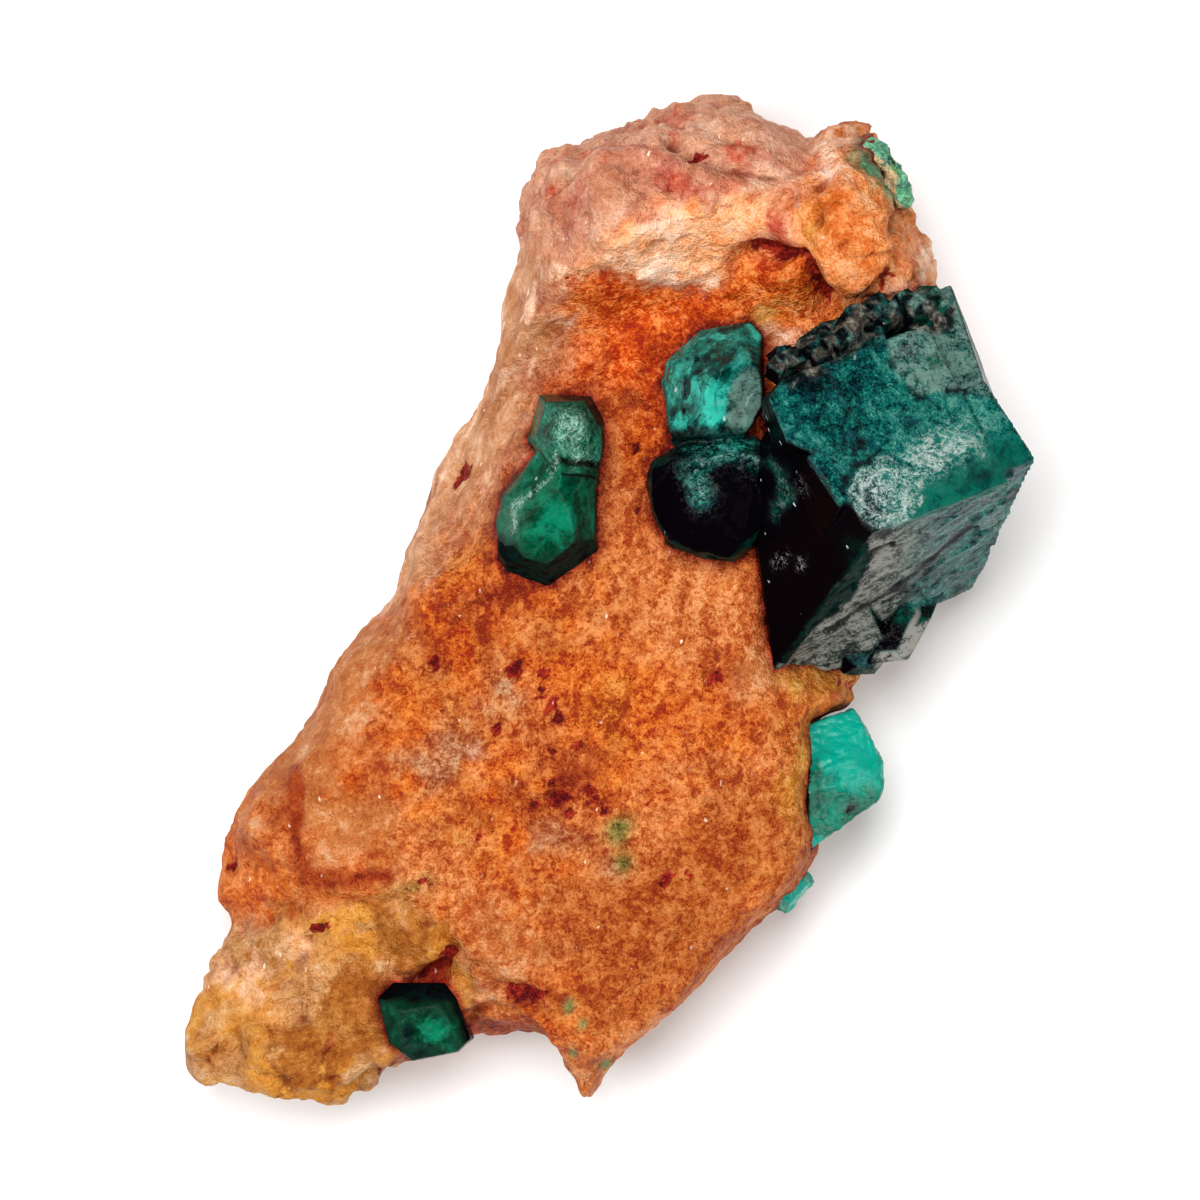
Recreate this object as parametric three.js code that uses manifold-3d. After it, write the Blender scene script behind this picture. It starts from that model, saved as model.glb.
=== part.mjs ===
// Dioptase on matrix: dark green crystals on a loose piece of orange, iron-stained rock.
// The rock lies on its back on a flat break, so that the side with the crystals faces up (+Z).
// +X is the right of that side and +Y its upper end. All lengths are millimetres.

import * as THREE from 'three';
import { ConvexGeometry } from 'three/addons/geometries/ConvexGeometry.js';
import { mergeVertices } from 'three/addons/utils/BufferGeometryUtils.js';
import Module from 'manifold-3d';

const wasm = await Module();
wasm.setup();

// Driving dimensions.
const CLEARANCE = 0.3;        // between the rock and each crystal that grows on it
const NET_STEP = 0.95;        // spacing of the net laid over the rock
const BELLY_HEIGHT = 4.2;     // where the rock is widest, above its flat break
const LOWER_TAPER = 0.34;     // how far the wall comes in for each millimetre below the belly
const UPPER_TAPER = 0.13;     // the same above the belly
const EDGE_ROUNDING = 0.55;   // how softly the broken faces of the rock meet
const LUMP_SIZE = 0.28;       // height of the uneven lumps all over the rock
const OUTLINE_MARGIN = 0.2;   // makes up for what the rounding takes off the outline

// Outline of the rock at its belly, clockwise from the top of the knob.
const ROCK_OUTLINE = [
  [4.8, 21.1], [5.8, 20.9], [7.5, 19.4], [8.3, 19.7], [10.4, 20.0], [12.2, 18.4], [12.6, 15.4],
  [13.2, 15.0], [13.8, 13.2], [13.8, 11.6], [13.4, 8.0], [12.6, 4.0], [11.4, 0.0], [10.4, -2.4],
  [10.2, -3.2], [9.1, -4.4], [8.6, -6.8], [8.8, -9.2], [8.0, -10.6], [6.7, -12.0], [4.8, -13.9],
  [4.0, -14.8], [2.4, -16.4], [1.2, -17.2], [0.5, -18.6], [-0.5, -19.4], [-1.6, -18.2],
  [-2.5, -17.0], [-4.0, -17.1], [-5.2, -17.0], [-6.4, -16.6], [-8.0, -17.9], [-8.6, -18.4],
  [-9.4, -19.0], [-10.4, -19.4], [-11.8, -19.5], [-13.2, -18.8], [-14.4, -18.7], [-16.2, -18.3],
  [-16.9, -17.2], [-16.4, -15.8], [-15.8, -13.6], [-15.1, -12.7], [-15.8, -11.6], [-15.9, -10.8],
  [-15.5, -9.7], [-14.4, -7.2], [-13.4, -6.0], [-12.4, -5.2], [-11.5, -3.6], [-11.0, -1.8],
  [-10.2, -1.2], [-9.2, -0.4], [-8.0, 0.8], [-7.9, 2.4], [-7.8, 3.6], [-7.0, 5.2], [-6.5, 6.4],
  [-5.6, 7.6], [-5.0, 8.8], [-4.4, 10.0], [-3.8, 10.8], [-3.4, 12.4], [-3.3, 15.2], [-3.2, 17.2],
  [-2.6, 18.2], [-2.0, 18.9], [-0.8, 19.0], [0.4, 19.6], [1.6, 20.2], [3.2, 20.8],
];

// Broken faces of the rock. Each passes through the point x, y, z and falls away towards
// the compass angle `towards` (degrees from +X to +Y) by `slope`, its drop per millimetre.
const PLATE_FACES = [
  { x: 0.0, y: -4.0, z: 9.6, towards: -100, slope: 0.05 },    // the wide granular plate
  { x: -10.4, y: -3.4, z: 8.9, towards: 143, slope: 0.9 },    // left edge of the plate
  { x: -13.8, y: -9.0, z: 8.2, towards: 176, slope: 0.5 },    // left corner
  { x: 6.6, y: -1.0, z: 9.3, towards: -15, slope: 0.22 },     // dips under the large crystal
  { x: 4.4, y: -13.0, z: 8.7, towards: -45, slope: 0.4 },     // lower right edge
];
const PALE_SIDE_FACE = { x: -3.2, y: 6.0, z: 10.0, towards: 162, slope: 1.7 };
const WAIST_FACE = { x: -7.4, y: 2.0, z: 9.0, towards: 78, slope: 1.6 };
const KNOB_FACES = [
  { x: 3.4, y: 17.0, z: 13.0, towards: 90, slope: 0.22 },     // top of the knob
  { x: 2.6, y: 15.2, z: 12.6, towards: -78, slope: 1.5 },     // ledge above the hollow
  { x: -0.6, y: 16.8, z: 12.4, towards: 172, slope: 1.6 },    // side of the knob, left
  { x: 4.2, y: 19.2, z: 11.8, towards: 88, slope: 1.4 },      // upper end
  { x: 6.8, y: 17.6, z: 12.5, towards: -8, slope: 0.8 },      // towards the right lump
];
const RIGHT_LUMP_FACES = [
  { x: 10.2, y: 16.4, z: 13.2, towards: 60, slope: 0.12 },    // top of the lump
  { x: 10.0, y: 13.7, z: 12.5, towards: -95, slope: 1.7 },    // steep front above the crack
  { x: 12.0, y: 16.0, z: 12.0, towards: 0, slope: 1.2 },
  { x: 10.2, y: 18.9, z: 12.3, towards: 86, slope: 1.1 },
  { x: 7.8, y: 16.0, z: 12.7, towards: 180, slope: 1.0 },
];
const DENTS = [
  { x: 2.4, y: 11.4, depth: 1.0, reach: 3.0 },                // hollow below the ledge
  { x: 10.8, y: -0.4, depth: 4.2, reach: 3.0 },               // drop under the large crystal
];

// The lower left end lies a step below the plate, beyond the line from `from` to `to`.
const LOWER_STEP = { from: [-13.0, -10.2], to: [-2.2, -16.6], drop: 1.6, run: 1.1 };

// Faces of the underside that rise from the flat break towards the edge of the rock.
const UNDER_FACES = [
  { x: -10.5, y: -12.0, rises: -140, slope: 0.3 },
  { x: 8.6, y: 13.6, rises: 48, slope: 0.55 },
  { x: 9.0, y: 2.0, rises: 0, slope: 0.95 },
  { x: 0.0, y: -14.6, rises: -80, slope: 0.45 },
  { x: -4.2, y: 11.0, rises: 165, slope: 0.8 },
];

// Each crystal is one or more convex blocks grown together: a centre `at` and the faces
// around it. A face is [compass angle, angle above the horizontal, distance from the centre].
const CRYSTALS = {
  large_crystal: [
    {   // the main block, with the side truncated where it reaches the plate
      at: [10.23, 5.02, 10.65],
      faces: [...rhomb(5.45, 3.6, 3.8, 0, 1.1), [165, 8, 4.2], [-170, 5, 4.23], [25, -8, 5.0]],
    },
    {   // growth along its right side, a step lower and a little turned
      at: [13.6, 3.4, 9.4],
      faces: [[50.6, 60.2, 5.86], [-60.1, 17.5, 0.56], [-155, 32.8, 3.0],
        [-129.4, -60.2, 5.94], [119.9, -17.5, 3.2], [28.6, -22.7, 2.68]],
    },
    { at: [8.0, 7.95, 15.3], faces: [...rhomb(1.15, 1.35, 1.3, -9), [-100, 50, 1.5], [180, 30, 1.1]] },
    { at: [8.3, 9.9, 12.6], faces: [...rhomb(1.75, 0.75, 0.95, 14), [165, 10, 1.0]] },
    { at: [9.7, 11.0, 11.9], faces: [...rhomb(1.6, 0.9, 0.9, -12), [90, 30, 1.0]] },
    { at: [11.0, 11.7, 11.2], faces: [...rhomb(1.8, 0.8, 0.8, 20), [70, 20, 0.9]] },
    { at: [12.3, 12.1, 10.8], faces: [...rhomb(1.6, 0.8, 0.9, 4), [120, 20, 0.8]] },
    { at: [13.5, 9.9, 9.6], faces: [...rhomb(2.6, 2.2, 1.5, 3), [20, 5, 1.75]] },
    {   // short prism below, beside the gap
      at: [12.4, -0.1, 6.4],
      faces: [[-60, 55, 0.9], [-28, -4, 0.66], [152, 5, 0.75], [-86, -8, 1.2], [75, 0, 2.0],
        [-100, -55, 1.6], [40, 40, 1.1]],
    },
    { at: [11.0, -1.4, 6.6], faces: [...rhomb(0.8, 0.7, 0.7, 30), [-90, 20, 0.6]] },
    {   // toe at the foot of the striated face
      at: [9.4, 0.2, 6.0],
      faces: [[-78, 32, 1.9], [-160, 20, 2.0], [10, 10, 2.0], [90, 0, 1.5], [0, -90, 1.5], [-80, 0, 2.1]],
    },
  ],
  centre_crystals: [
    {   // bright upper crystal, its two upper faces meeting in a ridge
      at: [4.56, 9.56, 10.6],
      faces: [[102, 14, 1.8], [42, 10, 2.5], [2, 4, 1.9], [-31, 0, 2.15], [-87, 5, 2.3],
        [-175, 8, 1.9], [163, 14, 1.62], [136, 12, 1.55], [158, 56, 1.9], [-14, 60, 1.75],
        [80, 62, 2.35], [-110, 70, 2.3], [0, -90, 2.5]],
    },
    {   // dark lower crystal, many-faced and rounded
      at: [4.64, 5.0, 10.3],
      faces: [[131, 15, 2.5], [169, 5, 2.7], [-172, 0, 2.62], [-150, 5, 2.6], [-114, 5, 2.5],
        [-96, 5, 2.5], [-49, 8, 2.4], [-27, 5, 2.3], [16, 8, 2.8], [47, 14, 2.55], [74, 20, 2.3],
        [100, 25, 2.1], [95, 55, 2.2], [40, 50, 2.5], [150, 45, 2.45], [-160, 45, 2.5],
        [-100, 48, 2.4], [-30, 45, 2.5], [-80, 72, 2.25], [60, 78, 2.4], [0, -90, 2.5]],
    },
  ],
  left_crystal: [
    {
      at: [-1.4, 7.56, 10.9],
      faces: [[90, 6, 1.2], [32, 8, 1.36], [2, 5, 1.5], [-10, 3, 1.62], [-90, 5, 1.9],
        [-150, 5, 1.3], [166, 6, 1.1], [100, 80, 1.55], [60, 48, 1.62], [-175, 50, 1.45],
        [10, 52, 1.65], [0, -90, 2.5]],
    },
    {
      at: [-1.96, 4.2, 10.6],
      faces: [[144, 4, 1.9], [166, 3, 1.98], [-178, 4, 2.12], [-146, 10, 2.55], [-107, 20, 2.25],
        [-55, 18, 1.85], [-1, 5, 1.8], [90, 5, 3.0], [-96, 74, 1.7], [143, 46, 1.78],
        [10, 50, 1.9], [0, -90, 2.5]],
    },
  ],
  foot_crystal: [
    {
      at: [-7.08, -16.12, 7.1],
      faces: [[108, 16, 1.46], [83, 16, 1.54], [35, 12, 1.74], [13, 12, 1.72], [-19, 8, 2.0],
        [-56, 10, 1.76], [-80, 8, 1.46], [-111, 8, 1.6], [-163, 10, 1.6], [-60, 80, 1.35],
        [100, 48, 1.45], [20, 46, 1.62], [-165, 48, 1.62], [-85, 50, 1.6], [0, -90, 2.4]],
    },
  ],
  edge_crystal: [
    {
      at: [10.0, -6.04, 5.6],
      faces: [[111, 10, 2.2], [27, 8, 1.38], [2, 0, 1.4], [-42, -5, 1.62], [-56, 5, 1.78],
        [-170, 0, 1.6], [177, 0, 1.6], [95, 62, 1.7], [-60, 66, 1.5], [20, 55, 1.6], [0, -70, 1.9]],
    },
  ],
  edge_sliver: [
    {
      at: [8.0, -10.9, 4.9],
      faces: [[-42, 6, 0.75], [138, 0, 1.6], [50, 12, 1.0], [-130, 12, 1.0], [-30, 60, 1.0],
        [0, -75, 1.2]],
    },
  ],
  green_crust: [
    {   // thin crust on the upper right corner of the rock
      at: [11.1, 18.0, 10.6],
      faces: [[40, 25, 1.05], [8, 8, 1.15], [78, 10, 1.2], [60, 60, 1.25], [150, 50, 1.3],
        [-50, 30, 1.25], [0, -50, 1.5], [180, 0, 1.6], [-110, 0, 1.5], [110, 5, 1.5]],
    },
  ],
};

// The six faces of the crystals' usual block, as three opposite pairs at these distances.
// Parallel growths share it, turned by a few degrees about the vertical.
// `deeper` moves the bottom face down into the rock.
function rhomb(top, lower, left, turn = 0, deeper = 0) {
  return [[50.6, 60.2, top], [-60.1, 17.5, lower], [-155, 32.8, left],
    [-129.4, -60.2, top + deeper], [119.9, -17.5, lower], [25, -32.8, left]]
    .map(([compass, rise, distance]) => [compass + turn, rise, distance]);
}

const degrees = THREE.MathUtils.degToRad;

// Unit vector at a compass angle and an angle above the horizontal.
function direction(compass, rise) {
  const flat = Math.cos(degrees(rise));
  return new THREE.Vector3(
    flat * Math.cos(degrees(compass)), flat * Math.sin(degrees(compass)), Math.sin(degrees(rise)));
}

// The larger of two values, with the corner between them rounded over the width `round`.
function softMax(a, b, round) {
  const overlap = Math.max(round - Math.abs(a - b), 0) / round;
  return Math.max(a, b) + overlap * overlap * round / 4;
}

function softMin(a, b, round) {
  return -softMax(-a, -b, round);
}

function smoothStep(value) {
  return THREE.MathUtils.smoothstep(value, 0, 1);
}

// Lumps about `size` millimetres long, between -1 and 1: waves in four directions, summed.
function lumps(x, y, z, size) {
  const k = 2 * Math.PI / size;
  const bend = 1.3 * Math.sin(k * (0.31 * x - 0.22 * y + 0.27 * z) + 0.4);
  return 0.32 * Math.sin(k * (0.72 * x + 0.41 * y + 0.35 * z) + bend)
    + 0.28 * Math.sin(k * (-0.38 * x + 0.81 * y - 0.22 * z) + 1.7 + bend)
    + 0.22 * Math.sin(k * (0.15 * x - 0.52 * y + 0.95 * z) + 2.9)
    + 0.18 * Math.sin(k * (1.31 * x + 0.64 * y - 0.48 * z) + 4.1 - bend);
}

// Distance from a point to the rock's outline, negative inside it.
function outlineDistance(x, y) {
  let nearest = Infinity;
  let inside = false;
  ROCK_OUTLINE.forEach(([ax, ay], i) => {
    const [bx, by] = ROCK_OUTLINE[(i + 1) % ROCK_OUTLINE.length];
    const along = ((x - ax) * (bx - ax) + (y - ay) * (by - ay)) / ((bx - ax) ** 2 + (by - ay) ** 2);
    const t = THREE.MathUtils.clamp(along, 0, 1);
    nearest = Math.min(nearest, Math.hypot(x - ax - t * (bx - ax), y - ay - t * (by - ay)));
    if ((ay > y) !== (by > y) && x < ax + (y - ay) / (by - ay) * (bx - ax)) {
      inside = !inside;
    }
  });
  return inside ? -nearest : nearest;
}

// Height of a group of broken faces: the lowest of them, rounded where they meet.
function facesHeight(faces, x, y) {
  return faces
    .map((face) => face.z - face.slope * (
      (x - face.x) * Math.cos(degrees(face.towards)) + (y - face.y) * Math.sin(degrees(face.towards))))
    .reduce((low, height) => softMin(low, height, 0.9));
}

// Height of the upper side of the rock, the side that carries the crystals.
function topHeight(x, y) {
  const dents = DENTS.reduce((sum, dent) => sum + dent.depth * Math.exp(
    -((x - dent.x) ** 2 + (y - dent.y) ** 2) / dent.reach ** 2), 0);
  const [fromX, fromY] = LOWER_STEP.from;
  const [toX, toY] = LOWER_STEP.to;
  const length = Math.hypot(toX - fromX, toY - fromY);
  const below = ((x - fromX) * (toY - fromY) - (y - fromY) * (toX - fromX)) / length;
  const step = LOWER_STEP.drop * smoothStep(below / LOWER_STEP.run + 0.5);
  const waist = softMax(
    facesHeight([PALE_SIDE_FACE], x, y), facesHeight([WAIST_FACE], x, y), EDGE_ROUNDING);
  const plate = softMin(facesHeight(PLATE_FACES, x, y), waist, 0.9) - dents - step;
  const knobs = softMax(facesHeight(KNOB_FACES, x, y), facesHeight(RIGHT_LUMP_FACES, x, y), 0.6);
  return softMax(plate, knobs, 1.0);
}

// Height of the underside: the flat break, and the faces that rise from it.
function underHeight(x, y) {
  return UNDER_FACES
    .map((face) => face.slope * (
      (x - face.x) * Math.cos(degrees(face.rises)) + (y - face.y) * Math.sin(degrees(face.rises))))
    .reduce((high, height) => Math.max(high, height), 0);
}

// The rock as a field: negative inside it, and about the distance to its surface outside.
function rockField(x, y, z) {
  const uneven = LUMP_SIZE * (lumps(x, y, z, 4.6) + 0.5 * lumps(y, z, x, 2.3));
  const taper = z < BELLY_HEIGHT
    ? LOWER_TAPER * (BELLY_HEIGHT - z)
    : UPPER_TAPER * (z - BELLY_HEIGHT);
  const wall = outlineDistance(x, y) - OUTLINE_MARGIN + taper + uneven;
  const top = 0.85 * (z - topHeight(x, y)) + uneven;
  return softMax(softMax(wall, top, EDGE_ROUNDING), underHeight(x, y) - z, EDGE_ROUNDING);
}

// Closed surface where a field is zero. Each cell of the grid that the surface crosses gets
// one point, the mean of its crossings, and each crossed grid edge joins four such points.
function surfaceNet(field, low, high, step) {
  const count = low.map((start, axis) => Math.ceil((high[axis] - start) / step) + 1);
  const index = (i, j, k) => i + count[0] * (j + count[1] * k);
  const place = (i, axis) => low[axis] + step * i;
  const values = new Float64Array(count[0] * count[1] * count[2]);
  for (let k = 0; k < count[2]; k += 1) {
    for (let j = 0; j < count[1]; j += 1) {
      for (let i = 0; i < count[0]; i += 1) {
        values[index(i, j, k)] = field(place(i, 0), place(j, 1), place(k, 2));
      }
    }
  }

  const points = [];
  const pointOfCell = new Map();
  const cellPoint = (cell) => {
    const key = index(...cell);
    if (!pointOfCell.has(key)) {
      const sum = new THREE.Vector3();
      let crossings = 0;
      for (let corner = 0; corner < 8; corner += 1) {
        for (let axis = 0; axis < 3; axis += 1) {
          if (corner & (1 << axis)) {
            continue;
          }
          const start = cell.map((c, a) => c + ((corner >> a) & 1));
          const end = start.map((c, a) => c + (a === axis ? 1 : 0));
          const a = values[index(...start)];
          const b = values[index(...end)];
          if ((a < 0) !== (b < 0)) {
            const t = a / (a - b);
            sum.add(new THREE.Vector3(...start.map((c, n) => place(c + t * (end[n] - c), n))));
            crossings += 1;
          }
        }
      }
      pointOfCell.set(key, points.length);
      points.push(sum.divideScalar(crossings));
    }
    return pointOfCell.get(key);
  };

  const triangles = [];
  for (let k = 1; k < count[2] - 1; k += 1) {
    for (let j = 1; j < count[1] - 1; j += 1) {
      for (let i = 1; i < count[0] - 1; i += 1) {
        for (let axis = 0; axis < 3; axis += 1) {
          const here = [i, j, k];
          const next = here.map((c, a) => c + (a === axis ? 1 : 0));
          const a = values[index(...here)];
          const b = values[index(...next)];
          if ((a < 0) === (b < 0)) {
            continue;
          }
          const u = (axis + 1) % 3;
          const v = (axis + 2) % 3;
          const around = [[-1, -1], [0, -1], [0, 0], [-1, 0]].map(([du, dv]) => {
            const cell = [...here];
            cell[u] += du;
            cell[v] += dv;
            return cellPoint(cell);
          });
          if (a > 0) {
            around.reverse();
          }
          triangles.push(around[0], around[1], around[2], around[0], around[2], around[3]);
        }
      }
    }
  }
  const geometry = new THREE.BufferGeometry();
  geometry.setAttribute('position',
    new THREE.Float32BufferAttribute(points.flatMap((p) => p.toArray()), 3));
  geometry.setIndex(triangles);
  return geometry;
}

// Convex block around a centre: the corners are where three of its faces meet inside the rest.
function crystalBlock({ at, faces }) {
  const planes = faces.map(([compass, rise, distance]) => new THREE.Plane(
    direction(compass, rise), -distance));
  const corners = [];
  const cross = new THREE.Vector3();
  planes.forEach((a, i) => planes.slice(i + 1).forEach((b, j) => {
    planes.slice(i + j + 2).forEach((c) => {
      const volume = a.normal.dot(cross.crossVectors(b.normal, c.normal));
      if (Math.abs(volume) < 1e-4) {
        return;
      }
      const corner = cross.clone().multiplyScalar(-a.constant)
        .addScaledVector(cross.crossVectors(c.normal, a.normal), -b.constant)
        .addScaledVector(cross.crossVectors(a.normal, b.normal), -c.constant)
        .divideScalar(volume);
      const outside = planes.some((plane) => plane.distanceToPoint(corner) > 1e-5);
      const known = corners.some((other) => other.distanceTo(corner) < 1e-4);
      if (!outside && !known) {
        corners.push(corner);
      }
    });
  }));
  return new ConvexGeometry(corners).translate(...at);
}

// Solid for joining and cutting, from a closed geometry.
function solidFrom(geometry) {
  geometry.deleteAttribute('normal');
  geometry.deleteAttribute('uv');
  const merged = mergeVertices(geometry, 1e-5);
  return new wasm.Manifold(new wasm.Mesh({
    numProp: 3,
    vertProperties: merged.attributes.position.array,
    triVerts: new Uint32Array(merged.index.array),
  }));
}

function geometryFrom(solid) {
  const mesh = solid.getMesh();
  const geometry = new THREE.BufferGeometry();
  geometry.setAttribute('position', new THREE.BufferAttribute(mesh.vertProperties, 3));
  geometry.setIndex(new THREE.BufferAttribute(mesh.triVerts, 1));
  return geometry;
}

const NET_LOW = [-19, -22, -1.45];
const NET_HIGH = [16, 23.5, 16];

const rockGeometry = surfaceNet(rockField, NET_LOW, NET_HIGH, NET_STEP);
const rockWithClearance = solidFrom(surfaceNet(
  (x, y, z) => rockField(x, y, z) - CLEARANCE, NET_LOW, NET_HIGH, NET_STEP));

const materials = {
  rock: new THREE.MeshStandardMaterial({ color: 0xb9693a, roughness: 0.85, metalness: 0 }),
  crystal: new THREE.MeshStandardMaterial({ color: 0x0b5348, roughness: 0.2, metalness: 0 }),
  crust: new THREE.MeshStandardMaterial({ color: 0x3f9a78, roughness: 0.6, metalness: 0 }),
};

const specimen = new THREE.Group();

function addPiece(name, geometry, material) {
  const piece = new THREE.Mesh(geometry, material);
  piece.name = name;
  specimen.add(piece);
}

// The blocks of one crystal joined, each face moved out by `swelling`.
function joinBlocks(blocks, swelling = 0) {
  return blocks
    .map(({ at, faces }) => solidFrom(crystalBlock({
      at, faces: faces.map(([compass, rise, distance]) => [compass, rise, distance + swelling]) })))
    .reduce((joined, block) => joined.add(block));
}

addPiece('matrix', rockGeometry, materials.rock);

const keepOff = {
  centre_crystals: joinBlocks(CRYSTALS.large_crystal, CLEARANCE),
};
for (const [name, blocks] of Object.entries(CRYSTALS)) {
  let crystal = joinBlocks(blocks).subtract(rockWithClearance);
  if (keepOff[name]) {
    crystal = crystal.subtract(keepOff[name]);
  }
  const material = name === 'green_crust' ? materials.crust : materials.crystal.clone();
  addPiece(name, geometryFrom(crystal), material);
}

// The origin is the middle of the base of the whole piece.
const bounds = new THREE.Box3().setFromObject(specimen);
const middle = bounds.getCenter(new THREE.Vector3());
specimen.position.set(-middle.x, -middle.y, -bounds.min.z);
const onItsBase = new THREE.Group();
onItsBase.add(specimen);

export default onItsBase;
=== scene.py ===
"""Dioptase on matrix: dark green crystals on a loose piece of orange, iron-stained rock.

The rock lies on its back with its crystals up. Shapes are worked out in millimetres round a
point near the middle of the plate, then moved into the frame, in metres.
"""
import math

import bmesh
import bpy
import numpy as np
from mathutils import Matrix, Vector


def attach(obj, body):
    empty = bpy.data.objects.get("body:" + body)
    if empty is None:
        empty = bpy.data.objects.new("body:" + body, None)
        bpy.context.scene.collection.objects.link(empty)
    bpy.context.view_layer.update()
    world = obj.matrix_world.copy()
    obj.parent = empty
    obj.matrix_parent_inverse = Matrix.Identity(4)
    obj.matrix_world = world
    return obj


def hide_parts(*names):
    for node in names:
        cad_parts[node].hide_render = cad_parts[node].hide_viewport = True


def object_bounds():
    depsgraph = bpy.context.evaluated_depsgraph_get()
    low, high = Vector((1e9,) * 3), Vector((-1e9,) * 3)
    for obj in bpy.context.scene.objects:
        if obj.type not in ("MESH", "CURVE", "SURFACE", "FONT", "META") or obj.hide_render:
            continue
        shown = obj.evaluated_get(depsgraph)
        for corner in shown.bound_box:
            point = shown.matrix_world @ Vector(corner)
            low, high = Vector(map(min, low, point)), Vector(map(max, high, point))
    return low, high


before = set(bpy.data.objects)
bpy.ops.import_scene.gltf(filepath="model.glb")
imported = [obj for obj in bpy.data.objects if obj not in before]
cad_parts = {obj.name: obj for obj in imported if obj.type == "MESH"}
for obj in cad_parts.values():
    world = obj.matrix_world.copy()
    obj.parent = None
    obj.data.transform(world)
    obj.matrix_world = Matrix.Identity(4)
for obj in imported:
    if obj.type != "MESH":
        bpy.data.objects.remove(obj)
cad_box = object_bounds()

# ---------------------------------------------------------------- matrix
# The rock: a broken piece of granular quartz and calcite, soaked with iron. Its broad shape
# is the solid of the frame. The grain, pores, cracks and lumps are worked into a dense skin
# that is laid over a copy of that solid.

PLATE_MIDDLE = np.array([-0.279, -0.779, 0.0])   # the working origin, from the frame's, in mm
MM_IN_METRE = 1000
MERGE_WITHIN = 2e-6                              # corners nearer than this are one, in metres
ROCK_SKIN = 0.178                                # spacing of the points of the skin, mm
FAR = 99.0                                       # farther off than anything on the specimen, mm
SCRAMBLERS = [np.uint64(odd) for odd in (0x9E3779B1, 0x85EBCA77, 0xC2B2AE3D, 0x2C1B3C6D, 0x297A2D39)]
LARGEST = np.uint64(0xFFFFFFFF)                  # the largest number of 32 bits


def hashed(cells, seed):
    """A number from 0 to 1 for each whole-numbered cell: its three indices are multiplied by
    large odd numbers and joined, and the high bits are folded over the low ones, three times."""
    key = cells.astype(np.int64).astype(np.uint64)
    mixed = (key[:, 0] * SCRAMBLERS[0] ^ key[:, 1] * SCRAMBLERS[1]
             ^ key[:, 2] * SCRAMBLERS[2]) + np.uint64(seed * 7919 + 17)
    for fold, odd in zip((15, 12), SCRAMBLERS[3:]):
        mixed = (mixed ^ (mixed >> np.uint64(fold))) * odd & LARGEST
    mixed = mixed ^ (mixed >> np.uint64(15))
    return mixed.astype(np.float64) / float(LARGEST)


def waves(points, size, seed):
    """Smooth noise from -1 to 1: hashed values at the corners of cubes `size` mm wide, blended
    between the corners by the curve t*t*(3 - 2t)."""
    scaled = points / size
    low = np.floor(scaled)
    part = scaled - low
    part = part * part * (3 - 2 * part)
    total = np.zeros(len(points))
    for corner in range(8):
        step = np.array([corner & 1, (corner >> 1) & 1, (corner >> 2) & 1])
        weight = np.prod(np.where(step == 1, part, 1 - part), axis=1)
        total += weight * hashed(low + step, seed)
    return total * 2 - 1


def rough(points, size, seed, octaves=3, keep=0.5):
    """Waves of halving size added up, each `keep` times as strong as the one before, and
    divided by the sum of their strengths."""
    total, strength, whole = np.zeros(len(points)), 1.0, 0.0
    for octave in range(octaves):
        total += strength * waves(points + 13.7 * octave, size / 2 ** octave, seed + octave)
        whole += strength
        strength *= keep
    return total / whole


def wander(points, size, seed):
    """Shifts from -1 to 1 in all three directions, each a rough() of its own."""
    return np.stack([rough(points, size, seed + k, 3) for k in range(3)], 1)


def grains(points, size, seed):
    """Cells of broken grain: for each point the distance to the nearest and second nearest of
    the seeds scattered one to a cube `size` mm wide, and a number from 0 to 1 for its cell."""
    scaled = points / size
    low = np.floor(scaled)
    nearest = np.full(len(points), FAR)
    second = np.full(len(points), FAR)
    label = np.zeros(len(points))
    for step in np.ndindex(3, 3, 3):
        cell = low + np.array(step) - 1
        spot = cell + np.stack([hashed(cell, seed + k) for k in range(3)], 1)
        away = np.linalg.norm(scaled - spot, axis=1)
        closer = away < nearest
        second = np.where(closer, nearest, np.minimum(second, away))
        label = np.where(closer, hashed(cell, seed + 5), label)
        nearest = np.where(closer, away, nearest)
    return nearest * size, second * size, label


def shards(points, size, seed):
    """Broken flats: each cell of grains() is a plane with a tilt of its own. The height is the
    way from the cell's seed times the cell's random slope, plus half the first slope as a step."""
    scaled = points / size
    low = np.floor(scaled)
    nearest = np.full(len(points), FAR)
    height = np.zeros(len(points))
    for step in np.ndindex(3, 3, 3):
        cell = low + np.array(step) - 1
        offset = scaled - cell - np.stack([hashed(cell, seed + k) for k in range(3)], 1)
        slope = np.stack([hashed(cell, seed + 5 + k) for k in range(3)], 1) * 2 - 1
        away = np.linalg.norm(offset, axis=1)
        closer = away < nearest
        height = np.where(closer, (offset * slope).sum(1) + 0.5 * slope[:, 0], height)
        nearest = np.where(closer, away, nearest)
    return height * size


def chunky(points, size, seed):
    """Shifts that are the same all over one broken grain, at most half a millimetre each way."""
    _, _, label = grains(points, size, seed)
    return np.stack([(label * 17.3) % 1 - 0.5, (label * 57.1) % 1 - 0.5, 0 * label], 1)


def ramp(value, start, end):
    """0 before `start`, 1 after `end`, and a smooth rise between, by the curve t*t*(3 - 2t)."""
    share = np.clip((value - start) / (end - start), 0, 1)
    return share * share * (3 - 2 * share)


def blob(points, x, y, reach, stretch=1.0, turn=0.0):
    """A soft round spot seen from above: exp(-r*r) with r the distance over `reach`, the spot
    drawn out `stretch` times along the compass angle `turn`."""
    angle = math.radians(turn)
    dx, dy = points[:, 0] - x, points[:, 1] - y
    along = (dx * math.cos(angle) + dy * math.sin(angle)) / stretch
    across = dy * math.cos(angle) - dx * math.sin(angle)
    return np.exp(-(along ** 2 + across ** 2) / reach ** 2)


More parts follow.
